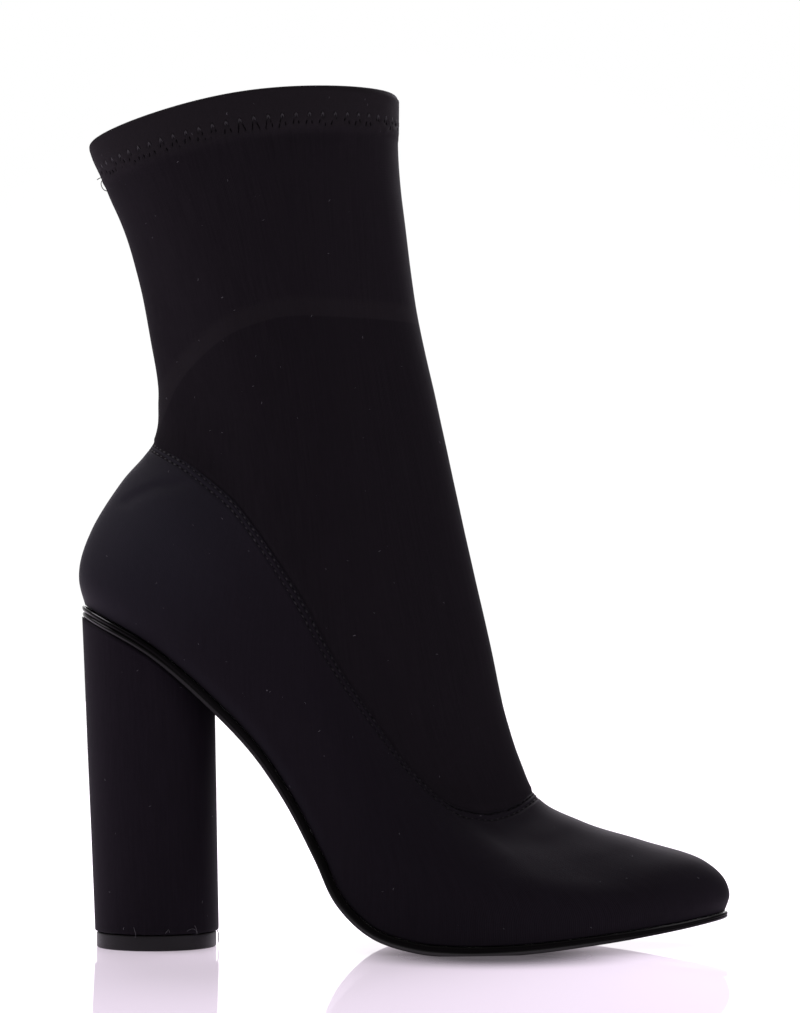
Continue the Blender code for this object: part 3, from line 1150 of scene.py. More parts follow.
class KnitGroup(ShaderGroup):
    """Fine jersey: wales up the cloth, loops along them, and streaks from uneven yarn."""

    name = "jersey knit"
    inputs = {"Cloth": VECTOR, "Wale": VALUE, "Course": VALUE}
    outputs = ("Height", "Streak")

    WALE_DEPTH = 0.25
    LOOP_DEPTH = 0.15
    YARN_ACROSS = 0.7
    YARN_UPWARD = 0.03
    YARN_DETAIL = 3.0
    YARN_HEIGHT = 0.6

    @staticmethod
    def ridges(w: Wiring, repeats: Any, depth: float) -> Socket:
        """Return a wave over repeats that swings by a depth either way below 1."""
        return w.math("MULTIPLY_ADD", w.math("COSINE", w.times(repeats, math.tau)), depth, 1 - depth)

    def wire(self, w: Wiring, given: Outputs) -> Given:
        """Draw the knit from the cloth's own coordinates.

        Args:
            w: The group's wiring.
            given: The group's inputs.

        Returns:
            The outputs' sockets.
        """
        split = w.node("ShaderNodeSeparateXYZ", {0: given["Cloth"]})
        across = w.math("DIVIDE", split["X"], given["Wale"])
        upward = w.math("DIVIDE", split["Y"], given["Course"])
        slanted = w.math("ADD", upward, w.math("PINGPONG", across, 0.5))
        loops = w.times(self.ridges(w, across, self.WALE_DEPTH), self.ridges(w, slanted, self.LOOP_DEPTH))
        drawn = {"X": w.times(across, self.YARN_ACROSS), "Y": w.times(upward, self.YARN_UPWARD)}
        streak = w.noise(w.node("ShaderNodeCombineXYZ", drawn)[0], 1.0, self.YARN_DETAIL)
        return {"Height": w.math("ADD", loops, w.times(streak, self.YARN_HEIGHT)), "Streak": streak}


class StayGroup(ShaderGroup):
    """Painted light on a paler band over the edge of the inner stay, and painted shade on the cloth below it.
    """

    name = "stretched band"
    inputs = {"Above": VALUE}
    outputs = ("Mask", "Painted Shade")

    LINE = (-0.35, 0.15)
    FADE = (4.2, 7.6)
    BAND_LIGHT = 0.42
    SHADE_BELOW = 0.12

    def wire(self, w: Wiring, given: Outputs) -> Given:
        """Mark a band with a crisp lower and a soft upper edge.

        Args:
            w: The group's wiring.
            given: The group's inputs.

        Returns:
            The outputs' sockets.
        """
        line, fade = (w.rise(given["Above"], *ends) for ends in (self.LINE, self.FADE))
        # The mask paints light on the band; the second output paints shade below its line.
        mask = w.times(w.math("SUBTRACT", line, fade), self.BAND_LIGHT)
        return {"Mask": mask, "Painted Shade": w.math("MULTIPLY_ADD", line, -self.SHADE_BELOW, self.SHADE_BELOW)}


class DustGroup(ShaderGroup):
    """Tiny pale specks of lint, too small to be modelled."""

    name = "fine lint"
    inputs = {"Place": VECTOR, "Amount": VALUE}
    outputs = ("Mask",)

    CELLS = 210.0
    SPECKS = (0.022, 0.055)

    def wire(self, w: Wiring, given: Outputs) -> Given:
        """Mark a small spot in some of the cells of a Voronoi pattern.

        Args:
            w: The group's wiring.
            given: The group's inputs.

        Returns:
            The outputs' sockets.
        """
        cells = w.node("ShaderNodeTexVoronoi", {"Vector": given["Place"], "Scale": self.CELLS})
        draw = w.node("ShaderNodeSeparateColor", {0: cells["Color"]})
        spot = w.math("LESS_THAN", cells["Distance"], w.spread(draw["Green"], *self.SPECKS))
        return {"Mask": w.times(spot, w.math("LESS_THAN", draw["Red"], given["Amount"]))}


class HandlingGroup(ShaderGroup):
    """Smears and fine scratches from handling, on smooth hard surfaces."""

    name = "handling marks"
    inputs = {"Place": VECTOR}
    outputs = ("Smear", "Scratch")

    SMEAR = (60.0, 4.0)
    SCRATCH_SCALE = (120.0, 900.0, 2600.0)
    SCRATCH_DETAIL = 2.0

    def wire(self, w: Wiring, given: Outputs) -> Given:
        """Lay soft clouds and fine drawn-out lines.

        Args:
            w: The group's wiring.
            given: The group's inputs.

        Returns:
            The outputs' sockets.
        """
        drawn = w.node("ShaderNodeMapping", {"Vector": given["Place"], "Scale": self.SCRATCH_SCALE})[0]
        scratch = w.noise(drawn, 1.0, self.SCRATCH_DETAIL)
        return {"Smear": w.noise(given["Place"], *self.SMEAR), "Scratch": scratch}


@dataclass
class Groups:
    """The shared shader groups."""

    knit: KnitGroup
    stay: StayGroup
    dust: DustGroup
    handling: HandlingGroup


def new_material(name: str) -> tuple[Material, Wiring, bpy.types.Node]:
    """Make a material.

    Args:
        name: Its name.

    Returns:
        The material, its wiring and its Principled shader.
    """
    material = bpy.data.materials.new(name)
    material.use_nodes = True
    return material, Wiring(material.node_tree), material.node_tree.nodes["Principled BSDF"]


@dataclass(frozen=True)
class ClothFinish:
    """Black stretch jersey.

    Attributes:
        name: The material's name.
        dark: Its colour in the darker streaks.
        light: Its colour in the lighter streaks.
        roughness: How matt it is.
        gloss: The specular level of its yarn.
        sheen: The weight of its soft sheen.
        lint: Share of the small cells that hold a speck.
        painted_light: A paler colour painted as light on the stay's band, hem, counter and lower rim, if it has
            them.
        wale: Distance between wales, in millimetres.
        course: Distance between loops, in millimetres.
        relief: Height of the knit, in millimetres.
    """

    name: str
    dark: Colour
    light: Colour
    roughness: float
    gloss: float
    sheen: float
    lint: float
    painted_light: Colour | None = None
    wale: float = 0.62
    course: float = 0.5
    relief: float = 0.05

    STREAKS = (-0.3, 1.3)
    UNEVEN = 0.06
    SHEEN_ROUGHNESS = 0.45
    SHEEN_TINT = (0.93, 0.88, 1.0)
    SPECK = (0.10, 0.095, 0.105)

    def material(self, groups: Groups) -> Material:
        """Make the material.

        Args:
            groups: The shared shader groups.

        Returns:
            The material.
        """
        material, w, shader = new_material(self.name)
        cloth = w.node("ShaderNodeUVMap", uv_map=CLOTH_MAP)[0]
        knit = groups.knit.put(w, Cloth=cloth, Wale=self.wale * MM, Course=self.course * MM)
        dust = groups.dust.put(w, Place=w.place(), Amount=self.lint)
        colour = w.mix(w.spread(knit["Streak"], *self.STREAKS), self.dark, self.light)
        # Painted light: the paler colour over the stay's band and the pale mark; painted shade below the stay's
        # line.
        if self.painted_light:
            stay = groups.stay.put(w, Above=w.mark(STAY))
            colour = w.mix(w.math("MAXIMUM", stay["Mask"], w.mark(PAINTED_LIGHT_MARK)), colour, self.painted_light)
            colour = w.mix(stay["Painted Shade"], colour, BLACK)
        w.fill(shader, {
            "Base Color": w.mix(dust["Mask"], colour, self.SPECK),
            "Roughness": w.about(knit["Streak"], self.roughness, self.UNEVEN),
            "Specular IOR Level": self.gloss,
            "Sheen Weight": self.sheen,
            "Sheen Roughness": self.SHEEN_ROUGHNESS,
            "Sheen Tint": self.SHEEN_TINT,
            "Normal": w.bump(knit["Height"], self.relief),
        })
        return material


@dataclass(frozen=True)
class ThreadFinish:
    """Twisted thread: painted shade where pulled into the cloth, a painted highlight and gloss where it lies on
    top.
    """

    name: str
    painted_shade: Colour
    proud: Colour
    roughness: float
    coat: float
    coat_roughness: float

    TWIST = (2600.0, 2.0)
    TWIST_DEPTH = 0.08
    SHADES = (0.6, 1.3)
    UNEVEN = 0.1
    GLOSS = 0.02

    def material(self) -> Material:
        """Make the material, with a fine twist in its bump and roughness.

        Returns:
            The material.
        """
        material, w, shader = new_material(self.name)
        twist = w.noise(w.place(), *self.TWIST)
        # The shine mark, less the dull mark, paints the thread from its shade colour to a paler highlight, and
        # sets its coat.
        shine = w.times(w.mark(SHINE), w.math("SUBTRACT", 1.0, w.mark(DULL)))
        w.fill(shader, {
            "Base Color": w.mix(w.times(shine, w.spread(twist, *self.SHADES)), self.painted_shade, self.proud),
            "Roughness": w.about(twist, self.roughness, self.UNEVEN),
            "Coat Weight": w.times(shine, self.coat),
            "Coat Roughness": self.coat_roughness,
            "Specular IOR Level": self.GLOSS,
            "Normal": w.bump(twist, self.TWIST_DEPTH),
        })
        return material


@dataclass(frozen=True)
class GlossFinish:
    """The painted edge and the satin tread of the sole."""

    name: str
    colour: Colour
    tread_colour: Colour
    roughness: float
    tread_roughness: float
    gloss: float = 0.03

    COAT_ROUGHNESS = 0.12
    EDGE_UNEVEN = (-0.05, 0.09)
    TREAD_UNEVEN = 0.1
    PEBBLES = 900.0
    WAVER = 0.35
    RELIEF = 0.12

    def material(self, groups: Groups) -> Material:
        """Make the material, glossy where the edge is polished and pebbled on the tread.

        Args:
            groups: The shared shader groups.

        Returns:
            The material.
        """
        material, w, shader = new_material(self.name)
        place, tread = w.place(), w.mark(TREAD)
        smear = groups.handling.put(w, Place=place)["Smear"]
        edge = w.spread(smear, *(self.roughness + uneven for uneven in self.EDGE_UNEVEN))
        under = w.about(smear, self.tread_roughness, self.TREAD_UNEVEN)
        pebble = w.node("ShaderNodeTexVoronoi", {"Vector": place, "Scale": self.PEBBLES}, feature="SMOOTH_F1")
        relief = w.math("ADD", w.times(pebble["Distance"], tread), w.times(smear, self.WAVER))
        w.fill(shader, {
            "Base Color": w.mix(tread, self.colour, self.tread_colour),
            "Roughness": w.node("ShaderNodeMix", {0: tread, 2: edge, 3: under}, data_type="FLOAT")[0],
            "Coat Weight": w.mark(POLISH),
            "Coat Roughness": self.COAT_ROUGHNESS,
            "Specular IOR Level": self.gloss,
            "Normal": w.bump(relief, self.RELIEF),
        })
        return material


@dataclass(frozen=True)
class RubberFinish:
    """The hard rubber of the heel's top piece."""

    name: str
    colour: Colour
    worn: Colour
    roughness: float
    gloss: float = 0.16

    UNEVEN = 0.12
    RELIEF = 0.03

    def material(self, groups: Groups) -> Material:
        """Make the material, with buffing lines and scuffs.

        Args:
            groups: The shared shader groups.

        Returns:
            The material.
        """
        material, w, shader = new_material(self.name)
        marks = groups.handling.put(w, Place=w.place())
        w.fill(shader, {
            "Base Color": w.mix(marks["Smear"], self.colour, self.worn),
            "Roughness": w.about(marks["Scratch"], self.roughness, self.UNEVEN),
            "Specular IOR Level": self.gloss,
            "Normal": w.bump(marks["Scratch"], self.RELIEF),
        })
        return material


@dataclass(frozen=True)
class LintFinish:
    """Pale lint fibres caught in the cloth."""

    name: str
    colour: Colour
    pale: Colour
    roughness: float = 0.9
    gloss: float = 0.1

    BLEND = (300.0, 1.0)

    def material(self) -> Material:
        """Make the material, uneven from fibre to fibre.

        Returns:
            The material.
        """
        material, w, shader = new_material(self.name)
        w.fill(shader, {
            "Base Color": w.mix(w.noise(w.place(), *self.BLEND), self.colour, self.pale),
            "Roughness": self.roughness,
            "Specular IOR Level": self.gloss,
        })
        return material


class GeometryTree:
    """A Geometry Nodes tree with named inputs, made once and run on several pieces."""

    name = "tree"
    inputs: dict[str, str] = {}

    BOW_STEPS = 6
    SHINE_POWER = 1.8

    def __init__(self) -> None:
        """Make the tree, which ends by realizing, smoothing and dressing its shapes."""
        self.tree = bpy.data.node_groups.new(self.name, "GeometryNodeTree")
        sockets = self.tree.interface
        sockets.new_socket("Geometry", in_out="INPUT", socket_type=SHAPES)
        self.names = {
            label: sockets.new_socket(label, in_out="INPUT", socket_type=kind).identifier
            for label, kind in {**self.inputs, "Material": "NodeSocketMaterial"}.items()
        }
        sockets.new_socket("Geometry", in_out="OUTPUT", socket_type=SHAPES)
        w = self.wiring = Wiring(self.tree)
        self.given = w.node("NodeGroupInput")
        real = w.node("GeometryNodeRealizeInstances", {"Geometry": self.wire(w)})
        smooth = w.node("GeometryNodeSetShadeSmooth", {"Geometry": real[0]})
        finish = {"Geometry": smooth[0], "Material": self.given["Material"]}
        w.node("NodeGroupOutput", {"Geometry": w.node("GeometryNodeSetMaterial", finish)[0]})

    def wire(self, w: Wiring) -> Socket:
        """Add the nodes, which each tree has of its own, and return the shapes that they make."""
        return self.given["Geometry"]

    def stored(self, name: str, kind: str) -> Socket:
        """Return a named value of the points."""
        reader = "GeometryNodeInputNamedAttribute"
        return self.wiring.node(reader, {"Name": name}, data_type=kind)["Attribute"]

    def tube(self, curve: Any, sides: int) -> Socket:
        """Sweep a round section, as thick as the tree's thread, along a curve.

        Args:
            curve: The curve's socket.
            sides: How many sides the section has.

        Returns:
            The tube's socket.
        """
        w = self.wiring
        size = {"Resolution": sides, "Radius": w.times(self.given["Thread"], 0.5)}
        section = w.node("GeometryNodeCurvePrimitiveCircle", size)["Curve"]
        swept = {"Curve": curve, "Profile Curve": section, "Fill Caps": True}
        return w.node("GeometryNodeCurveToMesh", swept)["Mesh"]

    def bow(self, length: Any, rise: Any, sideways: Any) -> Socket:
        """Draw a short bowed curve along X, with its painted highlight strongest at its middle.

        Args:
            length: Its length.
            rise: How far its middle stands up along Z.
            sideways: How far its middle lies along Y.

        Returns:
            The curve's socket.
        """
        w = self.wiring
        half, dip = w.times(length, 0.5), w.times(rise, -0.5)
        points = {
            "Start": (w.times(half, -1.0), 0.0, dip),
            "Middle": (0.0, sideways, w.times(rise, 1.5)),
            "End": (half, 0.0, dip),
        }
        given = {name: w.node("ShaderNodeCombineXYZ", dict(enumerate(at)))[0] for name, at in points.items()}
        curve = w.node("GeometryNodeCurveQuadraticBezier", {"Resolution": self.BOW_STEPS, **given})["Curve"]
        from_end = w.math("PINGPONG", w.node("GeometryNodeSplineParameter")["Factor"], 0.5)
        shine = w.math("POWER", w.times(from_end, 2.0), self.SHINE_POWER)
        given = {"Name": SHINE, "Geometry": curve, "Value": shine}
        return w.node("GeometryNodeStoreNamedAttribute", given, data_type="FLOAT", domain="POINT")["Geometry"]

    def random(self, low: float, high: float, offset: int) -> Socket:
        """Return a random number of low to high for each point, by the tree's seed and an offset to it."""
        given = {2: low, 3: high, "Seed": self.wiring.math("ADD", self.given["Seed"], offset)}
        return self.wiring.node("FunctionNodeRandomValue", given, data_type="FLOAT")[1]

    def set_out(self, points: Any, shape: Any, rotation: Any, spin: float, sizes: tuple[float, float]) -> Any:
        """Set a shape on points, spun about their outward axis and scaled at random.

        Args:
            points: The points' socket.
            shape: The shape's socket.
            rotation: The socket of the points' rotations.
            spin: The most that a shape is spun either way.
            sizes: The least and the greatest scale.

        Returns:
            The instances' socket.
        """
        w = self.wiring
        spun = w.node("FunctionNodeAxisAngleToRotation", {"Angle": self.random(-spin, spin, 1)})["Rotation"]
        given = {"Rotation": rotation, "Rotate By": spun}
        turned = w.node("FunctionNodeRotateRotation", given, rotation_space="LOCAL")["Rotation"]
        given = {"Points": points, "Instance": shape, "Rotation": turned, "Scale": self.random(*sizes, 2)}
        return w.node("GeometryNodeInstanceOnPoints", given)["Instances"]

    def run(self, piece: Obj, **values: Any) -> Obj:
        """Run the tree on a piece and keep what it makes as a plain mesh.

        Args:
            piece: The object that the tree starts from.
            values: A value for each named input.

        Returns:
            The piece with its new mesh.
        """
        modifier = piece.modifiers.new(self.name, "NODES")
        modifier.node_group = self.tree
        for label, value in values.items():
            modifier[self.names[label]] = value
        graph = bpy.context.evaluated_depsgraph_get()
        mesh = bpy.data.meshes.new_from_object(piece.evaluated_get(graph))
        piece.modifiers.remove(modifier)
        piece.data = mesh
        return piece


class StitchTree(GeometryTree):
    """Lays a stitch on each point, along its own direction and standing on the cloth."""

    name = "stitches"
    inputs = {"Length": VALUE, "Thread": VALUE, "Rise": VALUE, "Seed": WHOLE}

    SIDES = 6
    SPIN = 0.22
    SIZES = (0.68, 1.12)

    def wire(self, w: Wiring) -> Socket:
        """Make one stitch and set it on every point.

        Args:
            w: The tree's wiring.

        Returns:
            The stitches' socket.
        """
        stitch = self.tube(self.bow(self.given["Length"], self.given["Rise"], 0.0), self.SIDES)
        points = w.node("GeometryNodeMeshToPoints", {"Mesh": self.given["Geometry"]})["Points"]
        names = {"Primary Axis": ALONG, "Secondary Axis": OUT}
        axes = {socket: self.stored(name, "FLOAT_VECTOR") for socket, name in names.items()}
        turned = w.node("FunctionNodeAxesToRotation", axes, primary_axis="X", secondary_axis="Z")["Rotation"]
        return self.set_out(points, stitch, turned, self.SPIN, self.SIZES)


class ThreadTree(GeometryTree):
    """Sweeps a thread along the edges of a mesh line."""

    name = "thread"
    inputs = {"Thread": VALUE}

    SIDES = 6

    def wire(self, w: Wiring) -> Socket:
        """Turn the line into a curve, sweep the thread along it and return it."""
        curve = w.node("GeometryNodeMeshToCurve", {"Mesh": self.given["Geometry"]})["Curve"]
        return self.tube(curve, self.SIDES)


class LintTree(GeometryTree):
    """Scatters short bent fibres over the outer faces of a cloth."""

    name = "lint fibres"
    inputs = {"Density": VALUE, "Length": VALUE, "Thread": VALUE, "Seed": WHOLE}

    SIDES = 4
    RISE = 0.08
    BEND = 0.45
    SIZES = (0.35, 1.5)

    def wire(self, w: Wiring) -> Socket:
        """Make one fibre and scatter it, turned and scaled at random.

        Args:
            w: The tree's wiring.

        Returns:
            The fibres' socket.
        """
        length = self.given["Length"]
        curve = self.bow(length, w.times(length, self.RISE), w.times(length, self.BEND))
        fibre = self.tube(curve, self.SIDES)
        given = {
            "Mesh": self.given["Geometry"],
            "Density": w.times(self.given["Density"], self.stored(OUTSIDE, "FLOAT")),
            "Seed": self.given["Seed"],
        }
        scatter = w.node("GeometryNodeDistributePointsOnFaces", given)
        return self.set_out(scatter["Points"], fibre, scatter["Rotation"], math.pi, self.SIZES)


@dataclass
class SockShaft:
    """The stretch sock: one wall from under the lap seam, over the turned hem and down its inner face.

    Attributes:
        form: The last.
        seam: The lap seam at its foot.
        hem: The hem at its collar.
        wall: Its thickness.
        around: How many columns it has.
        height_rows: How many rows its plain stretch has outside.
        inner_rows: How many rows that stretch has inside.
    """

    form: BootForm
    seam: LapSeam
    hem: CollarHem
    wall: float = 1.3
    around: int = 400
    height_rows: int = 108
    inner_rows: int = 18

    SEAM_ROWS = (-5.0, -3.0, -1.5, -0.6, 0.0, 0.5, 1.0, 1.6, 2.3, 3.2, 4.4, 6.0)
    HEM_ROWS = (24.0, 22.0, 20.2, 18.8, 17.7, 16.8, 16.1, 15.5, 14.9, 14.3, 13.8, 13.3, 12.7, 12.0, 11.3,
                10.6, 9.9, 9.3, 8.7, 8.1, 7.3, 6.2, 4.9, 3.6, 2.4, 1.5)
    EDGE_STEPS = 9
    UNEVEN = 0.10
    FRONT_FULLNESS = 0.4
    FRONT_FROM = (0.7, 1.0)
    RAW_EDGE = (-0.8, -0.2)
    # Painted light on the turned hem and the collar's folded edge, fading out across the raw edge
    HEM_PAINTED_LIGHT = 0.7
    PALE_END = (-3.0, 3.0)
    FOOT_STRIDE = 4

    def edge(self) -> tuple[Array, Array]:
        """Round the folded edge of the collar.

        Returns:
            Distances below the collar, and how far out each lies.
        """
        half = (self.wall + 2 * self.hem.proud) / 2
        angle = np.linspace(0.0, math.pi, self.EDGE_STEPS)
        return half * (1 - np.sin(angle)), self.hem.proud - half + half * np.cos(angle)

    def surface(self, turn: Array, level: Array, above_seam: Array, depth: Array) -> Array:
        """Return points of the sock's outer face.

        Args:
            turn: Turns round the boot.
            level: Levels up the wall.
            above_seam: Distances above the lap seam.
            depth: Distances below the collar.

        Returns:
            The points.
        """
        flat = self.form.wall(turn, level)
        offset = self.seam.sock_offset(above_seam) + self.hem.offset(turn, depth)
        offset = offset + sum(crease.relief(flat) for crease in SHAFT_CREASES)
        offset = offset + BackSeam.relief(turn, flat) + undulation(flat, self.UNEVEN)
        offset = offset + self.FRONT_FULLNESS * ease(self.form.way_round(turn)[0], *self.FRONT_FROM)
        return flat + self.form.outward(turn, level) * offset[..., None]

    def inner_face(self, turn: Array, level: Array, depth: Array) -> Array:
        """Return points of the sock's inner face, with the hem's raw edge."""
        hem = 2 * self.hem.proud * (1 - ease(depth - self.hem.depth, *self.RAW_EDGE))
        return self.form.off_wall(turn, level, self.hem.proud - self.wall - hem)

    def build(self, materials: Sequence[Material]) -> Obj:
        """Make the sock.

        Args:
            materials: Its cloth and its lining.

        Returns:
            The piece.
        """
        turns = BackSeam.turns(self.around)
        low = self.seam.levels(turns, self.SEAM_ROWS)
        top = self.form.levels_from(turns, 1.0, [-row for row in self.HEM_ROWS])
        plain = rows_between(low[-1], top[0], self.height_rows)
        levels = np.concatenate([low, plain, top])
        above = np.concatenate([self.SEAM_ROWS, np.full(len(plain) + len(top), FAR)])[:, None]
        depth = np.concatenate([np.full(len(low) + len(plain), FAR), self.HEM_ROWS])[:, None]
        outer = self.surface(*np.broadcast_arrays(turns, levels, above, depth))

        edge_depth, edge_offset = self.edge()
        edge_levels = self.form.levels_from(turns, 1.0, -edge_depth)
        edge = self.form.off_wall(turns, edge_levels, edge_offset[:, None])

        few = plain[:: -(self.height_rows // self.inner_rows)]
        inner_levels = np.concatenate([top[::-1], few, low[:: -self.FOOT_STRIDE]])
        below_hem = np.full(len(inner_levels) - len(top), FAR)
        inner_depth = np.concatenate([self.HEM_ROWS[::-1], below_hem])[:, None]
        inner = self.inner_face(*np.broadcast_arrays(turns, inner_levels, inner_depth))

        rows = np.concatenate([outer, edge, inner])
        # Painted light: the hem and the folded edge take the paler colour, the inner face none
        doubled = 1 - ease(depth[:, 0] - self.hem.depth, *self.PALE_END)
        pale = np.concatenate([doubled, np.ones(len(edge)), np.zeros(len(inner))])
        marks = {
            STAY: np.clip(INNER_STAY.read(rows)[0], -NO_STAY, NO_STAY),
            PAINTED_LIGHT_MARK: np.repeat(self.HEM_PAINTED_LIGHT * pale, len(turns)),
        }
        return Grid(turns, rows, True, marks).piece("sock_shaft", materials, len(outer) + len(edge))


@dataclass
class FootPanel:
    """The foot: one wall from the sole's edge, over the folded lap edge and down its lining.

    Attributes:
        form: The last.
        seam: The lap seam at its top.
        wall: Its thickness, with toe puff, counter and lining.
        around: How many columns it has.
        height_rows: How many rows its plain stretch has outside.
        inner_rows: How many rows that stretch has inside.
    """

    form: BootForm
    seam: LapSeam
    wall: float = 2.0
    around: int = 400
    height_rows: int = 64
    inner_rows: int = 22

    EDGE_ROWS = (11.0, 9.0, 7.4, 6.2, 5.2, 4.4, 3.8, 3.4, 3.1, 2.8, 2.5, 2.2, 1.9, 1.6, 1.3, 1.05, 0.85,
                 0.65, 0.45)
    LASTING_LEVELS = (0.0, 0.002, 0.005, 0.009, 0.014, 0.020)
    LASTING_DRAW = 0.12
    TOE_DRAW = 0.06
    TOE_FROM = (0.66, 0.9)
    FOLD_STEPS = 7
    FOLD_REACH = 0.98
    POCKET_ROWS = (1.5, 3.5, 5.6)
    POCKET = 6.5
    UNEVEN = 0.07
    # Painted light: a paler patch on the upper heel counter, by centre (x, z), reach and strength
    COUNTER = (-6.0, 142.0)
    COUNTER_REACH = 34.0
    COUNTER_PAINTED_LIGHT = 0.92
    # Painted light: a paler rim along the lower edge of the foot's back half, for light bounced off the floor
    RIM_PAINTED_LIGHT = 0.28
    RIM_UP = 3.5
    RIM_REACH = 4.5
    RIM_END = (0.35, 0.55)

    def surface(self, turn: Array, level: Array, distance: Array) -> Array:
        """Return points of the panel's outer face.

        Args:
            turn: Turns round the boot.
            level: Levels up the wall.
            distance: Distances below the folded edge.

        Returns:
            The points.
        """
        flat = self.form.wall(turn, level)
        offset = self.seam.panel_offset(distance)
        offset = offset + sum(crease.relief(flat) for crease in FOOT_CREASES)
        offset = offset + BackSeam.relief(turn, flat) + undulation(flat, self.UNEVEN)
        toe = ease(self.form.way_round(turn)[0], *self.TOE_FROM)
        draw = self.LASTING_DRAW + (self.TOE_DRAW - self.LASTING_DRAW) * toe
        offset = offset - draw * (1 - ease(level, 0.0, self.LASTING_LEVELS[-1])) ** 2
        return flat + self.form.outward(turn, level) * offset[..., None]

    def build(self, materials: Sequence[Material]) -> Obj:
        """Make the foot panel.

        Args:
            materials: Its cloth and its lining.

        Returns:
            The piece.
        """
        turns = BackSeam.turns(self.around)
        edge_levels = self.seam.levels(turns, [-row for row in self.EDGE_ROWS])
        low = np.repeat(np.array(self.LASTING_LEVELS)[:, None], len(turns), axis=1)
        plain = rows_between(low[-1], edge_levels[0], self.height_rows)
        levels = np.concatenate([low, plain, edge_levels])
        distance = np.concatenate([np.full(len(low) + len(plain), FAR), self.EDGE_ROWS])[:, None]
        outer = self.surface(*np.broadcast_arrays(turns, levels, distance))

        angle = np.linspace(0.0, math.pi, self.FOLD_STEPS)
        last_row = self.EDGE_ROWS[-1]
        crown = float(self.seam.panel_offset(np.array(last_row)))
        fold_levels = self.seam.levels(turns, last_row * (np.sin(angle) - 1) * self.FOLD_REACH)
        fold_offset = crown - self.seam.fold + self.seam.fold * np.cos(angle)
        fold = self.form.off_wall(turns, fold_levels, fold_offset[:, None])

        pocket_levels = self.seam.levels(turns, [-row for row in self.POCKET_ROWS])
        pocket = self.form.off_wall(turns, pocket_levels, crown - 2 * self.seam.fold)
        floor_levels = self.seam.levels(turns, [-self.POCKET])
        lining_climb = np.linspace(1.0, 0.0, self.inner_rows)[:, None]
        lining_levels = low[0] + (floor_levels[0] - low[0]) * lining_climb
        lining = self.form.off_wall(turns, lining_levels, -self.wall)

        rows = np.concatenate([outer, fold, pocket, lining])
        # Painted light on the heel counter, fading with distance from its centre
        away = np.hypot(rows[..., 0] - self.COUNTER[0], rows[..., 2] - self.COUNTER[1])
        up = np.linalg.norm(rows - rows[0], axis=-1)
        # Painted light for floor bounce along the lower edge of the back half
        rim = 1 - ease(self.form.way_round(turns)[0], *self.RIM_END)
        rim = self.RIM_PAINTED_LIGHT * rim * bell(up - self.RIM_UP, self.RIM_REACH)
        marks = {
            PAINTED_LIGHT_MARK: np.maximum(self.COUNTER_PAINTED_LIGHT * bell(away, self.COUNTER_REACH), rim),
            STAY: np.full(rows.shape[:2], NO_STAY),
        }
        return Grid(turns, rows, True, marks).piece("foot_panel", materials, len(outer) + len(fold))


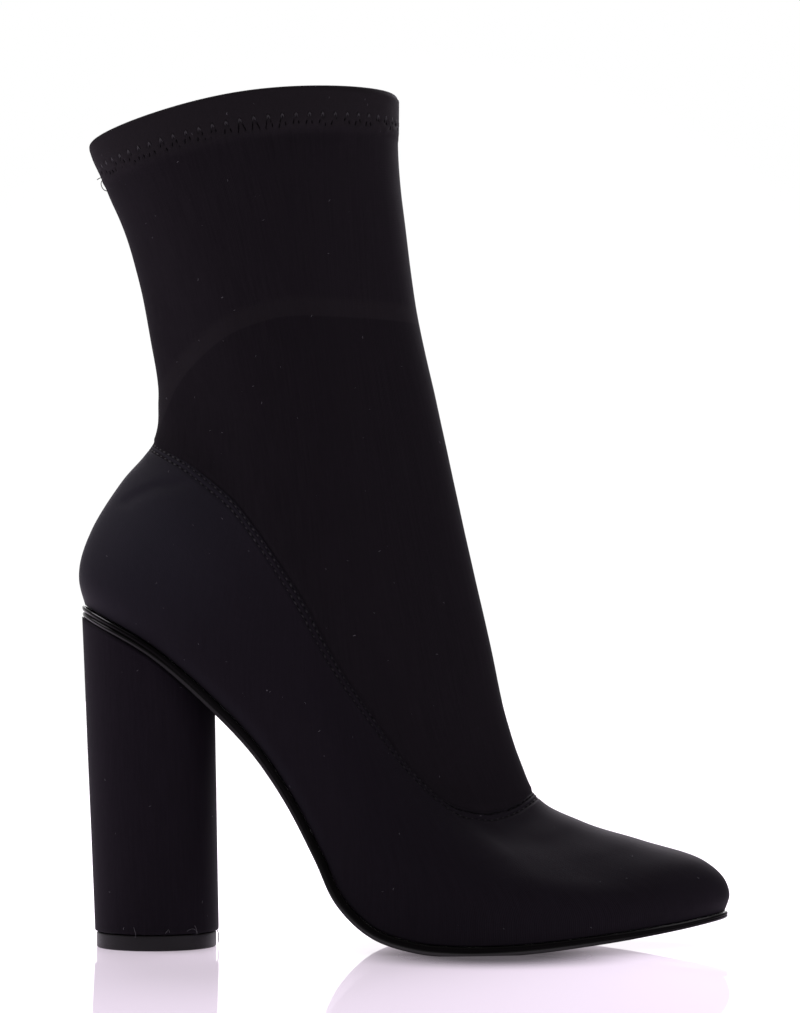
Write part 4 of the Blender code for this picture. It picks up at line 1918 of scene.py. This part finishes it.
@dataclass
class Outsole:
    """The thin sole: two painted faces round its edge, the lower one polished, and a flat tread.

    Attributes:
        form: The last.
        around: How many columns it has.
        inset: How far the groove between the faces lies out from the feather line at the heel.
        swell: How far the faces are rounded out from that groove at the heel.
        lip: How far the upper face stands out past the heel.
        undercut: How far the lower face leans in towards the bottom.
        bevel: How far the lower face is rounded off at the bottom.
    """

    form: BootForm
    around: int = 400
    inset: float = 0.35
    swell: float = 0.8
    lip: float = 0.5
    undercut: float = 0.35
    bevel: float = 0.35

    BEADS = ((0.03, 0.50), (0.55, 0.98))
    BEAD_STEPS = 11
    LIP_DEPTH = 0.2
    LIP_RISE = 0.2
    LIP_FADE = 0.4
    LOWER_DEPTH = 0.52
    LOWER_INSET = 0.2
    BEVEL_POWER = 6
    REACHES = (0.0, 0.3, 0.6, 0.85, 0.96)
    PLAIN_FROM = 0.03
    PLAIN_BY = 0.17
    NOTCH = 0.3
    NOTCH_WIDTH = 0.06
    LOWER_END = (0.86, 0.96)
    LOWER_POLISH = (
        Reading(0.0, 0.25), Reading(0.45, 0.25), Reading(0.55, 0.7), Reading(0.78, 0.7),
        Reading(0.88, 0.1),
    )
    LIP_POLISH = (
        Reading(0.05, 1.0), Reading(0.09, 0.0), Reading(0.50, 0.0), Reading(0.58, 0.14),
        Reading(0.88, 0.14), Reading(0.93, 1.0),
    )

    def plain_edge(self, depth: float) -> float:
        """Return how far the plain edge stands out at a share of the sole's depth."""
        top = max(0.0, 1 - depth / self.LIP_DEPTH)
        low = max(0.0, (depth - self.LOWER_DEPTH) / (1 - self.LOWER_DEPTH))
        bevel = self.bevel * low**self.BEVEL_POWER
        drawn_in = self.lip * (1 - math.sqrt(1 - top**2)) + self.undercut * low + bevel
        return self.inset + self.lip - drawn_in

    def profile(self) -> list[tuple[float, float, float, float]]:
        """Draw the section from the top middle, round the edge, to the bottom middle.

        Returns:
            Rows of reach, growth at the heel, growth past the heel and depth.
        """
        rows = [(reach, 0.0, 0.0, 0.0) for reach in self.REACHES]
        for top, bottom in self.BEADS:
            for angle in np.linspace(0.0, math.pi, self.BEAD_STEPS):
                depth = (top + bottom) / 2 - (bottom - top) / 2 * math.cos(angle)
                groove = self.inset - self.LOWER_INSET * (depth > self.LOWER_DEPTH)
                rows.append((1.0, groove + self.swell * math.sin(angle), self.plain_edge(depth), depth))
        return rows + [(reach, 0.0, 0.0, 1.0) for reach in reversed(self.REACHES)]

    def build(self, material: Material) -> Obj:
        """Make the sole.

        Args:
            material: Its gloss finish.

        Returns:
            The piece.
        """
        turns = np.arange(self.around) / self.around
        share = self.form.way_round(turns)[0]
        past_heel = ease(share, self.PLAIN_FROM, self.PLAIN_BY)
        lip_polish = np.interp(share, *zip(*self.LIP_POLISH))
        low_polish = np.interp(share, *zip(*self.LOWER_POLISH))
        rings, tread, polish = [], [], []
        for reach, beaded, plain, depth in self.profile():
            edge = float(reach == 1.0)
            notch = edge * self.NOTCH * bell(depth - self.LOWER_DEPTH, self.NOTCH_WIDTH)
            grow = beaded + past_heel * (plain - notch - beaded)
            raised = edge * self.LIP_RISE * past_heel * (1 - ease(depth, 0.0, self.LOWER_DEPTH))
            ring = self.form.slab(turns, reach, grow, SOLE_GAP - raised, depth)
            ring[:, 2] = np.maximum(ring[:, 2], FLOOR)
            rings.append(ring)
            tread.append(np.full(self.around, float(depth == 1.0)))
            upper = 1 - ease(depth, self.LIP_FADE * self.LIP_DEPTH, self.LIP_DEPTH)
            lower = ease(depth, self.LOWER_DEPTH, self.LOWER_DEPTH + self.NOTCH_WIDTH)
            lower = lower * (1 - ease(depth, *self.LOWER_END))
            polish.append(edge * (lip_polish * upper + low_polish * lower))
        marks = {TREAD: np.stack(tread), POLISH: np.stack(polish)}
        return Grid(turns, np.stack(rings), False, marks).piece("sole", [material])


@dataclass
class Insole:
    """The insole with its lining cloth, lying inside the foot."""

    form: BootForm
    around: int = 240
    inset: float = 2.6
    thickness: float = 2.5
    rounding: float = 0.9
    crown: float = 0.5

    REACHES = (0.0, 0.3, 0.6, 0.85)
    EDGE_STEPS = 6

    def profile(self) -> list[tuple[float, float, float]]:
        """Draw the section from the bottom middle, round the edge, to the top middle.

        Returns:
            Rows of reach, growth and height.
        """
        rows = [(reach, 0.0, 0.0) for reach in (*self.REACHES, 1.0)]
        for angle in np.linspace(0.0, math.pi / 2, self.EDGE_STEPS):
            drawn_in = self.rounding * (1 - math.cos(angle))
            rows.append((1.0, -drawn_in, self.thickness - self.rounding * (1 - math.sin(angle))))
        for reach in reversed(self.REACHES):
            rows.append((reach, 0.0, self.thickness + self.crown * (1 - reach**2)))
        return rows

    def build(self, material: Material) -> Obj:
        """Make the insole.

        Args:
            material: Its lining cloth.

        Returns:
            The piece.
        """
        turns = np.arange(self.around) / self.around
        rings = []
        for reach, grow, height in self.profile():
            rings.append(self.form.slab(turns, reach, grow - self.inset, -height, 0.0))
        return Grid(turns, np.stack(rings), closed=False).piece("insole_lining", [material])


@dataclass
class BlockHeel:
    """The round block heel in its cloth cover, and the rubber top piece under it.

    Attributes:
        form: The last, whose sole cuts the heel's top.
        foot_z: Height of the cover's lower edge.
        head_z: Height to which the oval's sizes are given.
        foot: Centre x, half-length and half-width at the foot.
        head: Centre x, half-length and half-width at the head.
        fold: Rounding of the cover's lower edge.
        seat_gap: Gap to the sole.
        top_height: Height of the top piece.
        top_inset: How far the top piece lies in from the cover.
        top_edge: Rounding of the top piece's edges.
    """

    form: BootForm
    foot_z: float = 5.5
    head_z: float = 125.0
    foot: tuple[float, float, float] = (0.1, 20.8, 20.6)
    head: tuple[float, float, float] = (-3.9, 22.4, 24.2)
    fold: float = 0.5
    seat_gap: float = 0.15
    top_height: float = 5.2
    top_inset: float = 0.7
    top_edge: float = 0.6

    SIDES = 160
    RISE_ROWS = 60
    FOLD_STEPS = 6
    CAP_REACHES = (0.9, 0.6, 0.3, 0.0)
    TREAD_REACHES = (0.0, 0.35, 0.7)
    SEAT_ROUNDS = 8
    BREAST_GROOVE = 0.4
    BREAST_WIDTH = 0.7
    UNEVEN = 0.05

    def oval(self, angle: Array, z: Array, grow: Array | float, reach: float = 1.0) -> Array:
        """Return points of the column's face.

        Args:
            angle: Angles from the breast.
            z: Heights.
            grow: Millimetres out from the face.
            reach: 1 on the face and 0 on the axis.

        Returns:
            The points.
        """
        rise = (z - self.foot_z) / (self.head_z - self.foot_z)
        x, length, width = (low + rise * (high - low) for low, high in zip(self.foot, self.head))
        x = x + reach * (length + grow) * np.cos(angle)
        y = reach * (width + grow) * np.sin(angle)
        return np.stack(np.broadcast_arrays(x, y, z), axis=-1)

    def seat(self, angle: Array, reach: float) -> Array:
        """Return a ring of the heel's head, cut to the sole."""
        z = np.full_like(angle, self.foot_z)
        for _ in range(self.SEAT_ROUNDS):
            z = self.form.underside(self.oval(angle, z, 0.0, reach)[:, 0], self.seat_gap)
        return z

    def build_cover(self, material: Material) -> Obj:
        """Make the cloth cover, with its closing seam down the breast.

        Args:
            material: Its cloth.

        Returns:
            The piece.
        """
        angle = -np.arange(self.SIDES) / self.SIDES * math.tau
        top = self.seat(angle, 1.0)
        flat = np.full_like(angle, self.foot_z)
        rings = [self.oval(angle, flat, 0.0, reach) for reach in self.CAP_REACHES[::-1]]
        for turn in np.linspace(-math.pi / 2, 0.0, self.FOLD_STEPS):
            z = flat + self.fold * (1 + math.sin(turn))
            rings.append(self.oval(angle, z, self.fold * (math.cos(turn) - 1)))
        from_breast = ((angle + math.pi) % math.tau - math.pi) * self.foot[1]
        seam = self.BREAST_GROOVE * bell(from_breast, self.BREAST_WIDTH)
        for rise in np.linspace(0.0, 1.0, self.RISE_ROWS + 1)[1:]:
            z = flat + self.fold + rise * (top - flat - self.fold)
            face = self.oval(angle, z, 0.0)
            rings.append(self.oval(angle, z, undulation(face, self.UNEVEN) - seam))
        for reach in self.CAP_REACHES:
            rings.append(self.oval(angle, self.seat(angle, reach), 0.0, reach))
        return Grid(angle, np.stack(rings), closed=False).piece("heel_cover", [material])

    def build_top_piece(self, material: Material) -> Obj:
        """Make the rubber top piece.

        Args:
            material: Its rubber.

        Returns:
            The piece.
        """
        angle = -np.arange(self.SIDES) / self.SIDES * math.tau
        radius = self.foot[1] - self.top_inset
        flat = [reach * (radius - self.top_edge) for reach in self.TREAD_REACHES]
        profile = [(out, 0.0) for out in flat]
        for centre, start in ((self.top_edge, -math.pi / 2), (self.top_height - self.top_edge, 0.0)):
            for turn in np.linspace(start, start + math.pi / 2, self.FOLD_STEPS):
                out = radius - self.top_edge * (1 - math.cos(turn))
                profile.append((out, centre + self.top_edge * math.sin(turn)))
        profile += [(out, self.top_height) for out in reversed(flat)]
        round_it = np.stack([np.cos(angle), np.sin(angle), np.zeros_like(angle)], axis=-1)
        rings = [out * round_it + (0.0, 0.0, z) for out, z in profile]
        return Grid(angle, np.stack(rings), closed=False).piece("heel_top", [material])


@dataclass
class Sewing:
    """Every visible thread: the lap seam's rows, the collar's zigzag and its loose ends.

    Attributes:
        form: The last.
        seam: The lap seam.
        hem: The collar's hem.
        thread: Thickness of the thread.
        seam_rise: How far a lap stitch stands up.
        zigzag_steps: How many points the zigzag has in each repeat.
    """

    form: BootForm
    seam: LapSeam
    hem: CollarHem
    thread: float = 0.52
    seam_rise: float = 0.22
    zigzag_steps: int = 18

    LOOSE_ENDS = (
        (
            Slot.SHAFT_CLOTH,
            (
                (-19.3, -0.4, 260.4), (-20.0, -0.5, 259.4), (-19.9, -0.6, 258.0), (-19.0, -0.6, 256.7),
                (-17.6, -0.6, 256.2),
            ),
        ),
        (
            Slot.SHAFT_CLOTH,
            ((-18.8, 0.3, 261.5), (-20.0, 0.2, 261.1), (-20.8, 0.1, 260.8), (-21.5, 0.0, 260.3)),
        ),
        (Slot.HEEL_CLOTH, ((20.2, -0.2, 5.7), (20.8, -0.4, 4.4), (20.9, -0.5, 2.6), (20.7, -0.4, 1.0))),
    )
    FRAYS = (
        (Slot.HEEL_CLOTH, ((-6.0, -19.9, 8.0), (-5.6, -20.2, 6.8), (-5.3, -20.3, 5.7), (-5.5, -20.2, 4.6))),
        (Slot.HEEL_CLOTH, ((4.5, -20.3, 5.9), (5.0, -20.4, 6.6), (5.6, -20.3, 7.2), (5.9, -20.1, 6.2))),
        (
            Slot.HEEL_CLOTH,
            (
                (11.4, -17.4, 6.4), (12.4, -17.0, 7.0), (13.6, -16.2, 7.1), (14.5, -15.6, 6.3),
                (14.4, -15.8, 5.2),
            ),
        ),
        (Slot.HEEL_CLOTH, ((13.9, -16.0, 8.2), (14.3, -15.7, 7.4), (14.6, -15.4, 6.4), (14.9, -15.2, 5.4))),
    )
    # Painted shade: the lap stitches' highlight and coat are dimmed towards the front, the first row's more so
    # at the vamp
    GLINT_DIMMING = 0.5
    GLINT_DIMMING_FROM = (25.0, 70.0)
    ROW_SHADE = 0.4
    ROW_SHADE_FROM = (92.0, 104.0)
    PEAK_FROM = (0.6, 0.92)
    PEAK_LIFT = 0.55
    LEG_LIFT = 0.1
    INSIDE_LIFT = 0.3
    HIDDEN_DROP = 1.2
    HIDDEN_BY = 0.06
    LOOSE_THREAD = 0.3
    LOOSE_SHINE = 0.3
    FRAY_THREAD = 0.11
    LOOSE_STEPS = 24

    def seam_stitches(self, tree: StitchTree, panel: FootPanel, material: Material) -> list[Obj]:
        """Sew the two rows of the lap seam.

        Args:
            tree: The stitch tree.
            panel: The foot panel.
            material: The thread's finish.

        Returns:
            One piece for each row.
        """
        made = []
        for number, row in enumerate(self.seam.rows):
            centres, along, out = self.seam.stitch_frames(panel, row)
            name = f"lap_stitches_{number + 1}"
            mesh = bpy.data.meshes.new(name)
            mesh.from_pydata((centres * MM).tolist(), [], [])
            for label, directions in ((ALONG, along), (OUT, out)):
                attribute = mesh.attributes.new(label, "FLOAT_VECTOR", "POINT")
                attribute.data.foreach_set("vector", directions.astype(np.float32).ravel())
            # Painted shade on the lap stitches: their highlight is dimmed along the seam
            row_shade = ease(centres[:, 0], *self.ROW_SHADE_FROM) * (number == 0)
            dull = self.GLINT_DIMMING * ease(centres[:, 0], *self.GLINT_DIMMING_FROM) + self.ROW_SHADE * row_shade
            write_values(mesh, DULL, dull)
            piece = tree.run(
                link(name, mesh),
                Length=self.seam.stitch * MM,
                Thread=self.thread * MM,
                Rise=self.seam_rise * MM,
                Seed=number,
                Material=material,
            )
            made.append(piece)
        return made

    def zigzag_path(self, shaft: SockShaft, inside: bool) -> tuple[Array, Array]:
        """Draw the zigzag round the collar.

        Args:
            shaft: The sock.
            inside: Whether it is drawn on the hem's inner face.

        Returns:
            The thread's points, and how proud it lies at each, from 0 to 1, which sets its painted highlight.
        """
        steps = np.arange(self.hem.count * self.zigzag_steps) / (self.hem.count * self.zigzag_steps)
        turns = np.interp(steps, self.hem.reached, self.hem.turns)
        depth = self.hem.thread_depth(turns)
        levels = np.array([
            self.form.levels_from(turns[i : i + 1], 1.0, [-depth[i]])[0, 0] for i in range(len(turns))
        ])
        out = self.form.outward(turns, levels)
        peaked = ease((self.hem.trough - depth) / (self.hem.trough - self.hem.peak), *self.PEAK_FROM)
        if inside:
            return shaft.inner_face(turns, levels, depth) - out * (self.INSIDE_LIFT * self.thread), peaked
        face = shaft.surface(turns, levels, np.full_like(turns, FAR), depth)
        hidden = 1 - ease(self.hem.rising(turns), 0.0, self.HIDDEN_BY)
        lift = self.LEG_LIFT + self.PEAK_LIFT * peaked - self.HIDDEN_DROP * hidden
        return face + out * (self.thread * lift)[:, None], peaked

    def thread_line(
        self, tree: ThreadTree, name: str, path: Array, shine: Array, closed: bool, thread: float,
        material: Material,
    ) -> Obj:
        """Sweep a thread along a path.

        Args:
            tree: The thread tree.
            name: The piece's name.
            path: The thread's points.
            shine: How proud it lies at each, from 0 to 1, which sets its painted highlight.
            closed: Whether its ends meet.
            thread: Its thickness.
            material: Its finish.

        Returns:
            The piece.
        """
        edges = [(i, i + 1) for i in range(len(path) - 1)]
        if closed:
            edges.append((len(path) - 1, 0))
        mesh = bpy.data.meshes.new(name)
        mesh.from_pydata((path * MM).tolist(), edges, [])
        write_values(mesh, SHINE, shine)
        return tree.run(link(name, mesh), Thread=thread * MM, Material=material)

    def loose_ends(self, tree: ThreadTree, thread: Material, fibre: Material) -> list[tuple[Obj, Slot]]:
        """Leave the cut thread ends at collar and heel, and the frayed fibres at the heel cover's edge.

        Args:
            tree: The thread tree.
            thread: The thread ends' finish.
            fibre: The frayed fibres' finish.

        Returns:
            One piece for each end, with its slot.
        """
        made = []
        for label, ends, width, material in (
            ("thread_end", self.LOOSE_ENDS, self.LOOSE_THREAD, thread),
            ("fray", self.FRAYS, self.FRAY_THREAD, fibre),
        ):
            for number, (slot, points) in enumerate(ends):
                curve = SmoothCurve(np.linspace(0.0, 1.0, len(points)), points)
                path = curve(np.linspace(0.0, 1.0, self.LOOSE_STEPS))
                shine = np.full(len(path), self.LOOSE_SHINE)
                name = f"{label}_{number + 1}"
                made.append((self.thread_line(tree, name, path, shine, False, width, material), slot))
        return made


@dataclass
class Lint:
    """Pale fibres caught on the outside of the cloth."""

    density: float = 3400.0
    length: float = 0.55
    thread: float = 0.09

    def settle(self, tree: LintTree, cloth: Obj, seed: int, material: Material) -> Obj:
        """Scatter fibres over one piece of cloth.

        Args:
            tree: The lint tree.
            cloth: The piece that they lie on.
            seed: The seed of their places.
            material: Their finish.

        Returns:
            The fibres as one piece.
        """
        return tree.run(
            link(f"lint_{cloth.name}", cloth.data.copy()),
            Density=self.density,
            Length=self.length * MM,
            Thread=self.thread * MM,
            Seed=seed,
            Material=material,
        )


@dataclass
class Studio:
    """The floor, the soft lights and the camera.

    Attributes:
        camera_place: The camera's place in metres.
        camera_pitch: Its tilt above the horizon, in degrees.
        focal_pixels: Its focal length in pixels of the picture.
        picture_height: The picture's long side in pixels.
    """

    camera_place: tuple[float, float, float] = (0.0821, -1.0, 0.096)
    camera_pitch: float = 3.0
    focal_pixels: float = 2945.0
    picture_height: float = 1013.0

    SENSOR = 36.0
    FLOOR_SIZE = 12.0
    FLOOR_CLOUD = (3.0, 2.0)
    FLOOR_ROUGHNESS = (0.012, 0.03)
    FLOOR_GLOW = 0.38
    FLOOR_TINTS = ((0.88, 0.80, 0.92), (0.895, 0.815, 0.935))
    FLOOR_GLOW_TINT = (1.0, 0.88, 0.99)
    # Painted contact shadow: its colour, then ovals of centre, radii and strength under ball and heel
    SHADE_TINT = (0.05, 0.048, 0.05)
    CONTACTS = (
        ((0.113, -0.033), (0.042, 0.040), 0.86),
        ((0.0, -0.006), (0.022, 0.022), 0.15),
    )
    CONTACT_FADE = (1.25, 0.35)
    FRONT_LIGHT = 0.36
    BACK_LIGHT = 1.05
    BACK_FALL = 7.0
    LAMP_TINT = (1.0, 0.94, 1.02)
    SOFTBOXES = (
        ("overhead", (0.2, 0.85, 0.92), (0.1, 0.0, 0.08), (1.1, 0.9), 30.5),
        ("upper_left", (-0.7, 0.06, 0.95), (0.0, 0.0, 0.13), (0.7, 0.7), 6.4),
        ("right", (1.1, -0.35, 0.55), (0.06, 0.0, 0.12), (0.7, 0.9), 1.8),
    )

    def build_camera(self) -> None:
        """Set the camera at the photograph's place."""
        data = bpy.data.cameras.new("camera")
        data.sensor_width = self.SENSOR
        data.lens = self.SENSOR * self.focal_pixels / self.picture_height
        camera = link("camera", data)
        camera.location = self.camera_place
        camera.rotation_euler = (math.radians(90.0 + self.camera_pitch), 0.0, 0.0)
        bpy.context.scene.camera = camera

    def contact_shade(self, w: Wiring, place: Socket) -> Any:
        """Paint a contact shadow on the floor where heel and ball stand.

        Args:
            w: The floor material's wiring.
            place: The floor's own coordinates.

        Returns:
            The socket of the shade's mask.
        """
        shade: Any = 0.0
        for (x, y), (length, width), strength in self.CONTACTS:
            oval = {"Location": (-x / length, -y / width, 0.0), "Scale": (1 / length, 1 / width, 0.0)}
            drawn = w.node("ShaderNodeMapping", {"Vector": place, **oval})[0]
            away = w.node("ShaderNodeVectorMath", {0: drawn}, operation="LENGTH")["Value"]
            shade = w.math("MAXIMUM", shade, w.times(w.rise(away, *self.CONTACT_FADE), strength))
        return shade

    def build_floor(self) -> None:
        """Lay a plain pale floor with a faint gloss and a painted contact shadow under the boot."""
        mesh = bpy.data.meshes.new("floor")
        half = self.FLOOR_SIZE / 2
        corners = [(-half, -half, 0), (half, -half, 0), (half, half, 0), (-half, half, 0)]
        mesh.from_pydata(corners, [], [(0, 1, 2, 3)])
        material, w, shader = new_material("pale_floor")
        place = w.place()
        cloud = w.noise(place, *self.FLOOR_CLOUD)
        # The painted shadow is seen by the camera only
        shade = w.times(self.contact_shade(w, place), w.seen())
        w.fill(shader, {
            "Base Color": w.mix(shade, w.mix(cloud, *self.FLOOR_TINTS), self.SHADE_TINT),
            "Roughness": w.spread(cloud, *self.FLOOR_ROUGHNESS),
            "Emission Color": w.mix(shade, self.FLOOR_GLOW_TINT, self.SHADE_TINT),
            "Emission Strength": self.FLOOR_GLOW,
        })
        mesh.materials.append(material)
        link("floor", mesh)

    def build_lights(self) -> None:
        """Hang the softboxes and light the surroundings, brighter behind the boot."""
        for name, place, aim, size, power in self.SOFTBOXES:
            data = bpy.data.lights.new(name, "AREA")
            data.shape = "RECTANGLE"
            data.size, data.size_y = size
            data.energy = power
            data.color = self.LAMP_TINT
            lamp = link(name, data)
            lamp.location = place
            lamp.rotation_euler = (Vector(aim) - Vector(place)).to_track_quat("-Z", "Y").to_euler()
        world = bpy.data.worlds.new("surroundings")
        world.use_nodes = True
        w = Wiring(world.node_tree)
        way = w.node("ShaderNodeSeparateXYZ", {0: w.node("ShaderNodeTexCoord")["Generated"]})
        behind = w.math("MULTIPLY_ADD", way["Y"], 0.5, 0.5)
        glow = w.spread(w.math("POWER", behind, self.BACK_FALL), self.FRONT_LIGHT, self.BACK_LIGHT)
        given = {"Strength": w.math("MAXIMUM", glow, w.seen()), "Color": WHITE}
        w.fill(world.node_tree.nodes["Background"], given)
        bpy.context.scene.world = world

    def build(self) -> None:
        """Set up the studio."""
        self.build_camera()
        self.build_floor()
        self.build_lights()
        bpy.context.scene.view_settings.view_transform = "Standard"


FOOT_CLOTH = ClothFinish(
    "foot_jersey",
    dark=(0.0055, 0.0043, 0.0063),
    light=(0.0081, 0.0066, 0.0092),
    painted_light=(0.0148, 0.0138, 0.0186),
    roughness=0.62,
    gloss=0.03,
    sheen=0.012,
    lint=0.05,
)
SHAFT_CLOTH = ClothFinish(
    "shaft_jersey",
    dark=(0.0071, 0.0059, 0.0075),
    light=(0.0103, 0.0088, 0.0106),
    painted_light=(0.0132, 0.0115, 0.0127),
    roughness=0.7,
    gloss=0.012,
    sheen=0.008,
    lint=0.04,
)
HEEL_CLOTH = ClothFinish(
    "heel_jersey",
    dark=(0.0063, 0.0049, 0.0072),
    light=(0.0090, 0.0072, 0.0101),
    roughness=0.66,
    gloss=0.03,
    sheen=0.008,
    lint=0.035,
)
LINING_CLOTH = ClothFinish(
    "lining_cloth",
    dark=(0.0085, 0.0078, 0.0092),
    light=(0.0125, 0.0118, 0.0132),
    roughness=0.85,
    gloss=0.04,
    sheen=0.01,
    lint=0.02,
    wale=0.9,
    course=0.9,
    relief=0.06,
)
THREAD = ThreadFinish(
    "black_thread", (0.0012, 0.0010, 0.0013), (0.030, 0.028, 0.031), 0.8, coat=0.32, coat_roughness=0.3
)
SOLE_GLOSS = GlossFinish("sole_gloss", (0.0017, 0.0014, 0.0016), (0.012, 0.0115, 0.0125), 0.2, 0.5)
TOP_RUBBER = RubberFinish("top_piece_rubber", (0.0098, 0.0088, 0.0101), (0.0150, 0.0136, 0.0156), 0.45)
LINT_FIBRE = LintFinish("lint_fibre", (0.04, 0.038, 0.043), (0.17, 0.165, 0.175))


def main() -> None:
    """Build the boot piece by piece, then the studio."""
    logging.basicConfig(level=logging.INFO, format="%(message)s")
    form = BootForm()
    seam, hem = LapSeam(form), CollarHem(form)
    groups = Groups(KnitGroup(), StayGroup(), DustGroup(), HandlingGroup())
    lining, thread = LINING_CLOTH.material(groups), THREAD.material()

    shaft, panel, heel = SockShaft(form, seam, hem), FootPanel(form, seam), BlockHeel(form)
    sock = mount(shaft.build([SHAFT_CLOTH.material(groups), lining]), Slot.SHAFT_CLOTH, "shaft")
    foot = mount(panel.build([FOOT_CLOTH.material(groups), lining]), Slot.FOOT_CLOTH, "upper")
    mount(Outsole(form).build(SOLE_GLOSS.material(groups)), Slot.SOLE, "outsole")
    mount(Insole(form).build(lining), Slot.LINING, "insole")
    cover = mount(heel.build_cover(HEEL_CLOTH.material(groups)), Slot.HEEL_CLOTH, "heel")
    mount(heel.build_top_piece(TOP_RUBBER.material(groups)), Slot.TOP_PIECE, "heel_top_piece")

    sewing = Sewing(form, seam, hem)
    threads = ThreadTree()
    for row in sewing.seam_stitches(StitchTree(), panel, thread):
        mount(row, Slot.FOOT_CLOTH)
    for name, inside in (("collar_zigzag", False), ("collar_zigzag_inside", True)):
        path, shine = sewing.zigzag_path(shaft, inside)
        mount(sewing.thread_line(threads, name, path, shine, True, sewing.thread, thread), Slot.SHAFT_CLOTH)
    fibre = LINT_FIBRE.material()
    for end, slot in sewing.loose_ends(threads, thread, fibre):
        mount(end, slot)

    lint, scatter = Lint(), LintTree()
    cloths = ((sock, Slot.SHAFT_CLOTH), (foot, Slot.FOOT_CLOTH), (cover, Slot.HEEL_CLOTH))
    for seed, (cloth, slot) in enumerate(cloths):
        mount(lint.settle(scatter, cloth, seed, fibre), slot)

    Studio().build()


if __name__ == "__main__":
    main()
